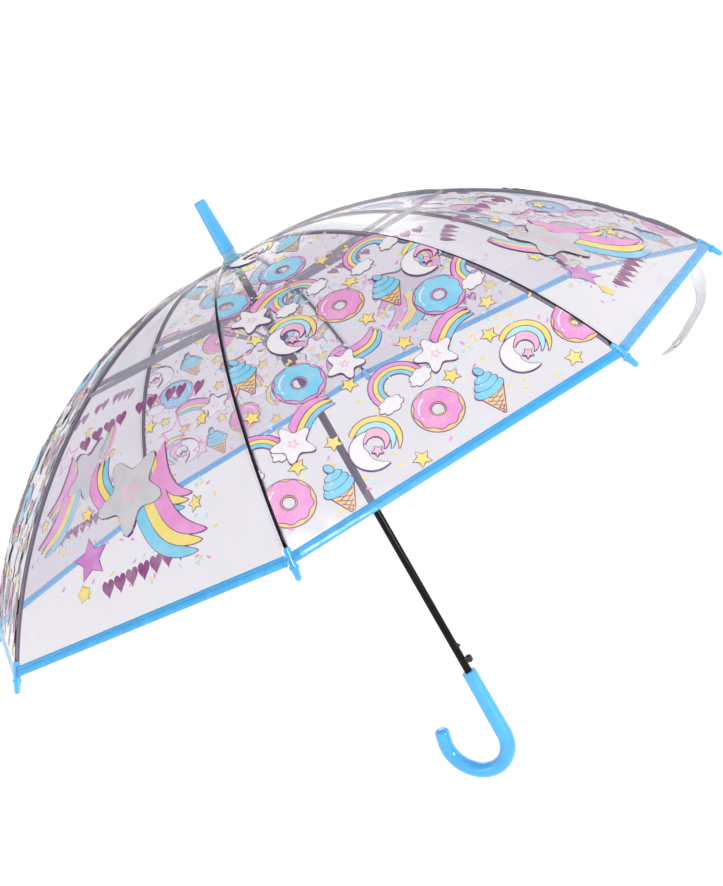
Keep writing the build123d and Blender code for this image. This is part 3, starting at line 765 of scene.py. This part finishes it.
@dataclass(frozen=True)
class Donut(Figure):
    """A ring cake with wavy icing, a highlight and sprinkles."""

    icing: Ink = Ink.PINK
    cake: Ink = Ink.WAFFLE
    sprinkle: Ink = Ink.YELLOW
    seed: int = 1

    def draw(self, pen: Pen) -> None:
        """Cake, icing that runs over it, highlight, sprinkles."""
        edge = self.line / pen.size
        pen.ring(Ink.LINE, 0.27 - edge, 1 + edge)
        pen.above(1).ring(self.cake, 0.27, 1.0)

        def wavy(share: float, side: float) -> Flat:
            angle = share * TAU
            reach = 0.9 + 0.045 * math.cos(9 * angle) + 0.05 * math.sin(angle) if side > 0 else 0.33
            return reach * math.cos(angle), reach * math.sin(angle)

        def wavy_edge(share: float, side: float) -> Flat:
            x, y = wavy(share, side)
            grow = 1 + edge * 0.8 / math.hypot(x, y) * side
            return x * grow, y * grow

        pen.above(2).strip(Ink.LINE, wavy_edge, 54)
        pen.above(3).strip(self.icing, wavy, 54)
        shine = pen.above(4)
        shine.ring(Ink.WHITE, 0.7, 0.77, math.radians(100), math.radians(62))
        shine.ring(Ink.WHITE, 0.7, 0.77, math.radians(170), math.radians(14))
        random = Random(self.seed)
        for index in range(11):
            angle = index * TAU / 11 + random.uniform(-0.2, 0.2)
            reach = random.uniform(0.46, 0.64)
            spot = shine.moved(reach * math.cos(angle), reach * math.sin(angle), 0.045, random.uniform(0, 3))
            spot.patch(self.sprinkle, polar(lambda _: 1.0, (1.0, 0.45)), 8)


@dataclass(frozen=True)
class Cone(Figure):
    """A waffle cone with a soft ice swirl."""

    ice: Ink = Ink.SKY

    def draw(self, pen: Pen) -> None:
        """Waffle below, three coils of ice above it and a curl on top."""
        edge = self.line / pen.size

        def wedge(grow: float) -> Callable[[float, float], Flat]:
            def rail(share: float, side: float) -> Flat:
                return side * ((0.5 + grow) * (1 - share) + 0.04 + grow * 0.4), -0.05 - share * (1.05 + grow)

            return rail

        pen.strip(Ink.LINE, wedge(edge), 1)
        pen.above().strip(Ink.WAFFLE, wedge(0), 1)
        for index in range(4):
            low = -0.2 - 0.2 * index
            reach = 0.5 * (1.05 + low) / 1.0
            pen.above(2).line([(-reach, low - 0.02), (reach * 0.55, low - 0.3)], edge * 0.8)
            pen.above(2).line([(reach, low - 0.02), (-reach * 0.55, low - 0.3)], edge * 0.8)
        for index, (low, width) in enumerate(((0.0, 0.62), (0.26, 0.5), (0.5, 0.35))):
            coil = pen.above(3 + 2 * index).moved(0.02 * index, low, 1.0, 0.16)
            self.outlined(coil, self.ice, lambda _, width=width: width, (1.0, 0.46))
            shine = coil.above(1.5).moved(-width * 0.35, width * 0.12, width * 0.22, 0.3)
            shine.patch(Ink.AQUA, polar(lambda _: 1.0, (1.0, 0.35)), 10)
        curl = pen.above(9).moved(0.08, 0.76, 1.0, 0.5)
        self.outlined(curl, self.ice, lambda angle: 0.16 + 0.07 * math.cos(angle - 1.6), (0.8, 1.2), 16)


@dataclass(frozen=True)
class Cloud(Figure):
    """A small cloud of round puffs."""

    puffs: int = 7

    def draw(self, pen: Pen) -> None:
        """Puffs round a flat oval."""

        def radius(angle: float) -> float:
            return 0.8 + 0.2 * abs(math.sin(self.puffs * angle / 2))

        self.outlined(pen, Ink.WHITE, radius, (1.0, 0.66), 56)


@dataclass(frozen=True)
class Rainbow(Figure):
    """Three bands over a cloud at each end."""

    bands: tuple[Ink, ...] = (Ink.PINK, Ink.YELLOW, Ink.SKY)

    def draw(self, pen: Pen) -> None:
        """Bands from the outside in, then the clouds over their ends."""
        edge = self.line / pen.size
        inner = 0.95 - 0.155 * len(self.bands)
        pen.ring(Ink.LINE, inner - edge, 0.95 + edge, -0.25, math.pi + 0.5)
        for index, ink in enumerate(self.bands):
            outer = 0.95 - 0.155 * index
            pen.above().ring(ink, outer - 0.155 + edge / 2, outer - edge * 0.3, -0.25, math.pi + 0.5)
        for side in (-1, 1):
            Cloud().draw(pen.above(2).moved(side * 0.68, -0.3, 0.44, side * 0.1))


@dataclass(frozen=True)
class Moon(Figure):
    """A crescent with a ribbon of colours streaming from it."""

    ribbons: tuple[Ink, ...] = (Ink.YELLOW, Ink.AQUA, Ink.ROSE)

    def draw(self, pen: Pen) -> None:
        """Ribbons behind, crescent in front, two stars beside it."""
        edge = self.line / pen.size

        def crescent(grow: float) -> Callable[[float, float], Flat]:
            def rail(share: float, side: float) -> Flat:
                angle = math.radians(70 + 220 * share)
                thick = 0.5 * math.sin(math.pi * share) ** 0.8 + grow * 2
                reach = 0.62 + grow - (thick if side < 0 else 0)
                return reach * math.cos(angle), reach * math.sin(angle)

            return rail

        def ribbon(index: int, grow: float) -> Callable[[float, float], Flat]:
            def rail(share: float, side: float) -> Flat:
                width = (0.13 * math.sin(math.pi * (share * 0.85 + 0.15)) + grow) * side
                angle = math.radians(115 - 150 * share)
                reach = 0.78 - 0.2 * index + width + 0.16 * math.sin(4 * share)
                return reach * math.cos(angle) + 0.1, reach * math.sin(angle)

            return rail

        for index, ink in enumerate(self.ribbons):
            pen.above(index * 2).strip(Ink.LINE, ribbon(index, edge), 22)
            pen.above(index * 2 + 1).strip(ink, ribbon(index, 0), 22)
        pen.above(7).strip(Ink.LINE, crescent(edge), 26)
        pen.above(8).strip(Ink.WHITE, crescent(0), 26)
        Star(ink=Ink.ROSE).draw(pen.above(7).moved(0.12, -0.1, 0.17))


@dataclass(frozen=True)
class Streamer(Figure):
    """Three stripes that curl away side by side and run to points."""

    stripes: tuple[Ink, ...] = (Ink.SKY, Ink.YELLOW, Ink.PINK)
    bend: float = 1.0

    def draw(self, pen: Pen) -> None:
        """Each stripe over its dark line, the last one uppermost."""
        edge = self.line / pen.size

        def stripe(index: int, grow: float) -> Callable[[float, float], Flat]:
            def rail(share: float, side: float) -> Flat:
                width = (0.13 * (1 - share**2) ** 0.6 + grow) * side
                lean = (index - 1) * 0.21 * (1 - share * 0.35)
                along = 1.35 * share
                rise = self.bend * 0.42 * math.sin(2.4 * share) + lean + width
                return -0.1 + along, 0.1 + rise

            return rail

        for index, ink in enumerate(self.stripes):
            pen.above(index * 2).strip(Ink.LINE, stripe(index, edge), 22)
            pen.above(index * 2 + 1).strip(ink, stripe(index, 0), 22)


@dataclass(frozen=True)
class Comet(Streamer):
    """A rounded star with a streamer for its tail."""

    body: Ink = Ink.WHITE

    def draw(self, pen: Pen) -> None:
        """The streamer, then a soft star over its root with a small open star on it."""
        super().draw(pen)

        def soft(angle: float) -> float:
            return 0.44 + 0.13 * math.cos(5 * angle) + 0.02 * math.cos(10 * angle)

        head = pen.above(7).moved(-0.32, -0.05, 1.0, 0.25)
        self.outlined(head, self.body, soft, corners=50)
        Star(ink=Ink.ROSE, hollow=0.4).draw(head.above(2).moved(0, 0, 0.17))


class Prints:
    """The print of a whole panel: all-over figures, or one large figure with ornaments."""

    def __init__(self, gore: Gore) -> None:
        self.gore = gore
        self.stencil = Stencil()
        self.random = Random(40 + gore.number)

    def pen(self, side: float, down: float, size: float, turn: float = 0.0) -> Pen:
        """A pen at a place on the film."""
        return Pen(self.stencil, (side, down), size, turn)

    def confetti(self, count: int, low: float, high: float, width: float) -> None:
        """Scatters small dashes over a stretch of the panel."""
        for _ in range(count):
            down = self.random.uniform(low, high)
            reach = min(width, self.gore.shape.half_width(down) - 0.004)
            spot = self.pen(self.random.uniform(-reach, reach), down, 0.0026, self.random.uniform(0, 3))
            ink = self.random.choice((Ink.PINK, Ink.YELLOW, Ink.AQUA))
            spot.patch(ink, polar(lambda _: 1.0, (1.0, 0.45)), 8)

    def allover(self) -> Iterator[tuple[Figure, Flat, float, float]]:
        """Figures of the all-over print: figure, place, half width, lean in degrees."""
        blue = Donut(icing=Ink.SKY, cake=Ink.PINK, sprinkle=Ink.ROSE)
        pink = Donut()
        for place in ((-0.130, 0.401), (0.008, 0.399), (0.143, 0.398), (0.008, 0.252), (-0.122, 0.270)):
            yield pink, place, 0.0205, 6
        for place in ((-0.064, 0.308), (0.074, 0.304), (0.000, 0.156), (-0.062, 0.170)):
            yield blue, place, 0.0215, 6
        for place in ((-0.092, 0.412), (0.050, 0.408), (0.046, 0.266), (-0.096, 0.270), (0.026, 0.112)):
            yield Cone(), place, 0.0215, -4
        for place in ((-0.004, 0.362), (-0.128, 0.356), (0.118, 0.300), (-0.012, 0.210), (0.062, 0.212)):
            yield Rainbow(), place, 0.0255, 14
        for place in ((-0.090, 0.356), (0.046, 0.352), (-0.046, 0.208)):
            yield Comet(), place, 0.031, 6
        yield Comet(bend=-1.0), (-0.018, 0.310), 0.028, 28
        for place in ((-0.054, 0.400), (0.090, 0.397), (0.086, 0.260), (-0.046, 0.258), (-0.006, 0.082)):
            yield Moon(), place, 0.028, 0
        low = ((-0.108, 0.378), (-0.074, 0.376), (0.024, 0.328), (-0.027, 0.428), (0.034, 0.380))
        middle = ((-0.034, 0.336), (0.098, 0.338), (0.080, 0.366), (0.120, 0.424), (0.008, 0.132))
        high = ((-0.066, 0.238), (0.030, 0.232), (0.030, 0.180), (-0.032, 0.182), (0.016, 0.284))
        edge = ((-0.112, 0.316), (0.112, 0.258), (-0.016, 0.112))
        for place in low + middle + high + edge:
            yield Star(), place, 0.0075, self.random.uniform(-15, 15)

    def single(self) -> Iterator[tuple[Figure, Flat, float, float]]:
        """Figures of the single print: figure, place, half width, lean in degrees."""
        yield Streamer(line=0.0008, bend=-1.0), (0.022, 0.312), 0.048, -42
        yield Streamer(line=0.0008, bend=1.0), (-0.020, 0.330), 0.040, 96
        yield Comet(line=0.0008, body=Ink.GREY, bend=-0.9), (0.014, 0.338), 0.066, -38
        for slot in (0, 1, 2, 3, 4.7, 5.7, 7.4, 8.4, 10.1):
            share = slot / 10.1 * 2 - 1
            yield Heart(), (share * 0.068, 0.240 + 0.014 * share**2), 0.0064, -share * 18
        for slot in range(7):
            share = slot / 6 * 2 - 1
            yield Heart(), (0.007 + share * 0.041, 0.400 - 0.003 * share), 0.0068, -share * 3
        yield Star(ink=Ink.PINK, hollow=0.16), (0.044, 0.292), 0.019, -8
        yield Star(ink=Ink.PINK, hollow=0.2), (0.076, 0.318), 0.010, 10
        yield Star(ink=Ink.ORCHID), (-0.052, 0.372), 0.019, 6
        for place in ((0.012, 0.270), (0.076, 0.290), (-0.056, 0.330), (0.068, 0.364), (-0.062, 0.399)):
            yield Star(), place, 0.0075, self.random.uniform(-12, 12)

    def build(self) -> bpy.types.Object:
        """Draws the print, bends it onto the film and lets it ride with the panel."""
        whole = self.gore.number % 2 == 1
        if whole:
            self.confetti(430, 0.03, self.gore.shape.length - 0.012, 0.2)
        else:
            self.confetti(70, 0.34, 0.415, 0.09)
        for figure, place, size, lean in self.allover() if whole else self.single():
            figure.draw(self.pen(*place, size, math.radians(lean)))
        self.stencil.fit(self.gore, 0.0012)
        self.stencil.apply(self.gore, 0.00012)
        made = new_object(f"print_{self.gore.number}", self.stencil.mesh, [ink.value for ink in Ink])
        self.gore.soften(made)
        return made


# ---------------------------------------------------------------- canopy pieces
@dataclass(frozen=True)
class Canopy:
    """Eight panels of film with their prints and hems."""

    shape: CanopyShape
    finishes: Finishes
    columns: int = 26
    hem_width: float = 0.0088
    hem_thickness: float = 0.0009
    hem_keep: float = 0.055

    def film(self, gore: Gore) -> bpy.types.Object:
        """The panel's clear film, one curved sheet."""
        mesh = bmesh.new()
        edge = mesh.verts.layers.float.new("edge")
        grid = bmesh.ops.create_grid(mesh, x_segments=self.columns, y_segments=self.shape.stations, size=1)
        for vert in grid["verts"]:
            row = round((vert.co.y + 1) / 2 * self.shape.stations)
            down = max(0.0015, self.shape.distances[row])
            side = vert.co.x * self.shape.edge(down)
            vert[edge] = self.shape.half_width(down) - abs(side)
            vert.co = gore.place(side, down)
        mesh.normal_update()
        bmesh.ops.recalc_face_normals(mesh, faces=mesh.faces[:])
        return new_object(gore.film, mesh, [self.finishes.film])

    def hem(self, gore: Gore) -> bpy.types.Object:
        """The tape folded over the film's lower edge."""
        shape = self.shape
        mesh = bmesh.new()
        along = mesh.verts.layers.float.new("along")
        across = mesh.verts.layers.float.new("across")
        grid = bmesh.ops.create_grid(mesh, x_segments=48, y_segments=12, size=1)["verts"]
        for vert in grid:
            angle = (vert.co.y + 1) * math.pi
            down = shape.length - self.hem_width / 2 * (1 - math.cos(angle)) + 0.0003
            limit = shape.edge(shape.length) + 0.0002
            side = vert.co.x * limit
            vert[along] = side
            vert[across] = (1 - math.cos(angle)) / 2
            bulge = math.sin(angle) * self.hem_thickness / 2 * (0.8 + 0.2 * math.cos(angle))
            vert.co = gore.place(side, min(down, shape.length + 0.0003), bulge)
        bmesh.ops.remove_doubles(mesh, verts=mesh.verts[:], dist=1e-6)
        bmesh.ops.holes_fill(mesh, edges=[edge for edge in mesh.edges if edge.is_boundary], sides=0)
        bmesh.ops.recalc_face_normals(mesh, faces=mesh.faces[:])
        return new_object(f"hem_{gore.number}", mesh, [self.finishes.hem])

    def build(self) -> None:
        """Makes every panel with its film, hem and print, and hides the CAD panel."""
        for number in range(1, RIB_COUNT + 1):
            gore = Gore(number, self.shape)
            film, hem = self.film(gore), self.hem(gore)
            gore.soften(film)
            gore.soften(hem, keep=self.hem_keep)
            printed = Prints(gore).build()
            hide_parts(f"canopy_panel_{number}")
            flat = (2 * self.shape.half_width(self.shape.length), self.shape.length)
            area = sum(
                (below - above) * (self.shape.half_width(above) + self.shape.half_width(below))
                for above, below in zip(self.shape.distances, self.shape.distances[1:])
            )
            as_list(gore.ribs)


# ---------------------------------------------------------------- spring, strap
@dataclass(frozen=True)
class Coil:
    """A compression spring in place of the CAD one."""

    node: str
    body: str
    joint: str
    axis: int
    wire: float
    turns: int
    finish: Finish
    sides: int = 10
    steps: int = 28
    slack: float = 0.01

    def keep(self, length: float, joints: Sequence[dict]) -> float:
        """The share of its length that is left at the joint's far limit.

        Args:
            length: The spring's length at rest.
            joints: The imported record's joints.

        Returns:
            The share, a little under what the joint's travel leaves.
        """
        travel = next(joint["range_m"] for joint in joints if joint["name"] == self.joint)
        return 1 - max(abs(limit) for limit in travel) / length - self.slack

    def build(self, joints: Sequence[dict]) -> None:
        """Winds a round wire through the CAD spring's box.

        Args:
            joints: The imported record's joints.
        """
        low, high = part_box(self.node)
        middle = (low + high) / 2
        along, side = Vector(), Vector()
        along[self.axis] = 1
        side[(self.axis + 1) % 3] = 1
        up = along.cross(side)
        radius = (high - low)[(self.axis + 1) % 3] / 2 - self.wire
        length = (high - low)[self.axis]
        mesh = bmesh.new()
        grid = bmesh.ops.create_grid(mesh, x_segments=self.turns * self.steps, y_segments=self.sides, size=1)
        for vert in grid["verts"]:
            angle = (vert.co.x + 1) / 2 * self.turns * TAU
            round_wire = vert.co.y * math.pi
            reach = radius + self.wire * math.cos(round_wire)
            place = vert.co.x * (length / 2 - self.wire) + self.wire * math.sin(round_wire)
            vert.co = middle + along * place + (side * math.cos(angle) + up * math.sin(angle)) * reach
        bmesh.ops.remove_doubles(mesh, verts=mesh.verts[:], dist=1e-6)
        bmesh.ops.holes_fill(mesh, edges=[edge for edge in mesh.edges if edge.is_boundary], sides=0)
        bmesh.ops.recalc_face_normals(mesh, faces=mesh.faces[:])
        made = new_object(f"{self.node}_coil", mesh, [self.finish])
        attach(made, self.body)
        self.keep(length, joints)
        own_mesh(made)
        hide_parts(self.node)


@dataclass(frozen=True)
class TieStrap:
    """The clear closing strap that hangs from the hem by one end, with its snap."""

    gore: Gore
    finishes: Finishes
    heading: float = math.radians(40.4)
    twist: float = math.radians(35.0)
    sewn_share: float = 0.35
    width: float = 0.012
    share: float = 0.77
    length: float = 0.092
    snap_share: float = 0.84
    snap_radius: float = 0.0045
    snap_height: float = 0.0014
    snap_gap: float = 0.0007
    snap_taper: float = 0.9
    snap_edge: float = 0.0003
    sheet_thickness: float = 0.0006
    tip_share: float = 0.93
    tip_narrowing: float = 0.25
    route: tuple[Flat, ...] = (
        (0.0, 0.0012),
        (0.0035, -0.017),
        (0.011, -0.031),
        (0.026, -0.0405),
        (0.046, -0.0505),
        (0.063, -0.054),
    )

    @property
    def top(self) -> Vector:
        """Where the strap leaves the hem."""
        shape = self.gore.shape
        side = shape.half_width(shape.length) * (1 - 2 * self.share)
        return Vector((-shape.radius * math.cos(HALF_STEP), side, shape.crown - shape.depth - 0.0006))

    def along(self, share: float) -> Flat:
        """A point of the strap's line, eased through its route."""
        place = share * (len(self.route) - 1)
        index = min(int(place), len(self.route) - 2)
        part = place - index
        before = self.route[max(index - 1, 0)]
        start, end = self.route[index], self.route[index + 1]
        after = self.route[min(index + 2, len(self.route) - 1)]
        values = []
        for p, q, r, s in zip(before, start, end, after):
            bend = 2 * q + (r - p) * part + (2 * p - 5 * q + 4 * r - s) * part**2
            values.append((bend + (3 * q - p - 3 * r + s) * part**3) / 2)
        return values[0], values[1]

    def build(self) -> None:
        """The strap, shaped to hang from the hem, and the snap on it."""
        outward = Vector((math.cos(self.heading), math.sin(self.heading), 0))
        normal = Vector((outward.y, -outward.x, 0))
        across = normal * math.cos(self.twist) + outward * math.sin(self.twist)
        mesh = bmesh.new()
        edge = mesh.verts.layers.float.new("edge")
        grid = bmesh.ops.create_grid(mesh, x_segments=40, y_segments=6, size=1)["verts"]
        for vert in grid:
            share = (vert.co.x + 1) / 2
            out, up = self.along(share)
            tip = max(0.0, share - self.tip_share) / (1 - self.tip_share)
            narrow = self.width / 2 * (1 - self.tip_narrowing * tip)
            curl = 0.0006 * (vert.co.y**2 - 0.4) + 0.0004 * math.sin(9 * share + 2 * vert.co.y)
            vert[edge] = 1.0
            sewn = max(0.0, 1 - share / self.sewn_share) ** 2
            wide = across.lerp(-self.gore.across, sewn).normalized()
            vert.co = self.top + outward * (out + curl) + wide * (vert.co.y * narrow) + Vector((0, 0, up))
        bmesh.ops.solidify(mesh, geom=mesh.faces[:], thickness=self.sheet_thickness)
        bmesh.ops.recalc_face_normals(mesh, faces=mesh.faces[:])
        strap = new_object("strap", mesh, [self.finishes.vinyl])
        self.gore.soften(strap)
        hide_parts("tie_strap")
        ahead = [Vector(self.along(self.snap_share + step)) for step in (-0.01, 0.01)]
        run = ahead[1] - ahead[0]
        facing = across.cross(outward * run.x + Vector((0, 0, run.y))).normalized()
        snap = self.snap(facing)
        self.gore.soften(snap, "white_plastic")
        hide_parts("strap_snap")
        self.length
        self.gore.film

    def snap(self, facing: Vector) -> bpy.types.Object:
        """Both domed halves of the snap, either side of the strap.

        Args:
            facing: The strap's normal where the snap sits.

        Returns:
            The snap, one piece of two closed halves.
        """
        low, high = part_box("strap_snap")
        turn = facing.to_track_quat("Z", "Y").to_matrix().to_4x4()
        inner, outer = self.snap_radius, self.snap_radius * self.snap_taper
        mesh = bmesh.new()
        for side in (-1, 1):
            lift = Matrix.Translation((0, 0, side * (self.snap_gap + self.snap_height / 2)))
            lower, upper = (inner, outer) if side > 0 else (outer, inner)
            made = bmesh.ops.create_cone(
                mesh,
                cap_ends=True,
                segments=32,
                radius1=lower,
                radius2=upper,
                depth=self.snap_height,
                matrix=Matrix.Translation((low + high) / 2) @ turn @ lift,
            )["verts"]
            rims = {edge for vert in made for edge in vert.link_edges if len(edge.link_faces) == 2}
            sharp = [edge for edge in rims if edge.calc_face_angle() > 0.8]
            bmesh.ops.bevel(
                mesh, geom=sharp, offset=self.snap_edge, affect="EDGES", segments=3, profile=0.5, material=-1
            )
        bmesh.ops.recalc_face_normals(mesh, faces=mesh.faces[:])
        return new_object("snap", mesh, [self.finishes.white_plastic])


# ---------------------------------------------------------------- frame finishes
@dataclass(frozen=True)
class MetalFrame:
    """The CAD nodes that stay as they are, each with its finish."""

    nodes: dict[str, bpy.types.Object]
    finishes: Finishes

    def finish_of(self, node: str) -> Finish:
        """The finish that a node's real part has."""
        kinds = {
            ("handle", "finial", "top_notch", "rib_tip"): self.finishes.sky_plastic,
            ("top_cap",): self.finishes.clear_sky,
            ("runner", "link_ring", "release_button"): self.finishes.black_plastic,
            ("stretcher", "link"): self.finishes.zinc,
            ("notch_wire", "runner_wire", "link_ring_wire"): self.finishes.spring_steel,
        }
        stem = node.rstrip("0123456789").rstrip("_")
        for names, finish in kinds.items():
            if stem in names:
                return finish
        return self.finishes.enamel

    def build(self) -> None:
        """Gives every shown node its finish."""
        for name, node in self.nodes.items():
            node.data.materials.clear()
            node.data.materials.append(self.finish_of(name).material)
        log.info("frame: %d nodes finished", len(self.nodes))


# ---------------------------------------------------------------- studio
@dataclass(frozen=True)
class Softbox:
    """One large soft light, aimed at the canopy."""

    name: str
    place: tuple[float, float, float]
    size: float
    power: float

    def build(self, target: Vector) -> None:
        """Adds the light and turns it to its target."""
        light = bpy.data.lights.new(self.name, "AREA")
        light.shape = "SQUARE"
        light.size = self.size
        light.energy = self.power
        made = bpy.data.objects.new(self.name, light)
        made.location = self.place
        made.rotation_euler = (target - made.location).to_track_quat("-Z", "Y").to_euler()
        bpy.context.scene.collection.objects.link(made)


@dataclass(frozen=True)
class Studio:
    """A white sweep, soft light and the camera."""

    place: Vector = Vector((-0.83768, 1.29171, 0.49378))
    right: Vector = Vector((-0.7749789, -0.39885895, -0.49022367))
    down: Vector = Vector((0.34928682, 0.37613371, -0.85820869))
    forward: Vector = Vector((0.52669386, -0.83632229, -0.15217951))
    lens: float = 64.18
    floor: float = -0.62
    glow: float = 0.34
    sky: float = 0.29

    def camera(self) -> None:
        """The camera, level lens, no depth of field."""
        data = bpy.data.cameras.new("camera")
        data.lens = self.lens
        data.sensor_width = 36
        made = bpy.data.objects.new("camera", data)
        turn = Matrix((self.right, -self.down, -self.forward)).transposed()
        made.matrix_world = Matrix.Translation(self.place) @ turn.to_4x4()
        bpy.context.scene.collection.objects.link(made)
        bpy.context.scene.camera = made

    def sweep(self) -> None:
        """A pale floor that curves up into walls all round."""
        mesh = bmesh.new()
        grid = bmesh.ops.create_circle(mesh, cap_ends=False, segments=96, radius=3.2)["verts"]
        for vert in grid:
            vert.co.z = self.floor
        edges = mesh.edges[:]
        bmesh.ops.contextual_create(mesh, geom=edges)
        for reach, rise in ((3.9, 0.12), (4.5, 0.5), (4.9, 1.2), (5.0, 5.0)):
            edges = bmesh.ops.extrude_edge_only(mesh, edges=edges)["geom"]
            verts = [part for part in edges if isinstance(part, bmesh.types.BMVert)]
            edges = [part for part in edges if isinstance(part, bmesh.types.BMEdge)]
            for vert in verts:
                flat = vert.co.xy.normalized() * reach
                vert.co = (flat.x, flat.y, self.floor + rise)
        bmesh.ops.recalc_face_normals(mesh, faces=mesh.faces[:])
        graph = Graph("pale_floor")
        tone = graph.mix(graph.noise(3, 2), (0.86, 0.86, 0.865), (0.9, 0.9, 0.9))
        graph.set(Base_Color=tone, Roughness=0.85, Emission_Color=(1, 1, 1, 1), Emission_Strength=self.glow)
        data = bpy.data.meshes.new("floor")
        mesh.to_mesh(data)
        mesh.free()
        data.materials.append(graph.material)
        floor = bpy.data.objects.new("floor", data)
        bpy.context.scene.collection.objects.link(floor)

    def build(self) -> None:
        """Floor, world, lights and camera."""
        scene = bpy.context.scene
        world = bpy.data.worlds.new("studio")
        world.use_nodes = True
        world.node_tree.nodes["Background"].inputs["Color"].default_value = (1, 1, 1, 1)
        world.node_tree.nodes["Background"].inputs["Strength"].default_value = self.sky
        scene.world = world
        scene.view_settings.view_transform = "Standard"
        scene.cycles.transparent_max_bounces = 32
        self.sweep()
        target = Vector((0, 0, 0.3))
        Softbox("key", (-1.6, 1.3, 2.2), 0.5, 17).build(target)
        Softbox("fill", (1.2, 2.2, 1.0), 1.6, 8).build(target)
        Softbox("rim", (0.8, -1.9, 1.6), 1.2, 9).build(target)
        Softbox("strip", (-2.0, 0.7, -0.2), 0.3, 9).build(target)
        self.camera()


def main() -> None:
    """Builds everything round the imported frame."""
    logging.basicConfig(level=logging.INFO, format="%(name)s %(message)s")
    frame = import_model()
    finishes = Finishes()
    shape = CanopyShape()
    Studio().build()
    MetalFrame(frame["nodes"], finishes).build()
    Canopy(shape, finishes).build()
    steel = finishes.spring_steel
    Coil("opening_spring", "runner", "ring_slide", 2, 0.0006, 6, steel).build(frame["joints"])
    Coil("button_spring", "frame", "button_press", 0, 0.0002, 4, steel).build(frame["joints"])
    TieStrap(Gore(4, shape), finishes).build()


if __name__ == "__main__":
    main()
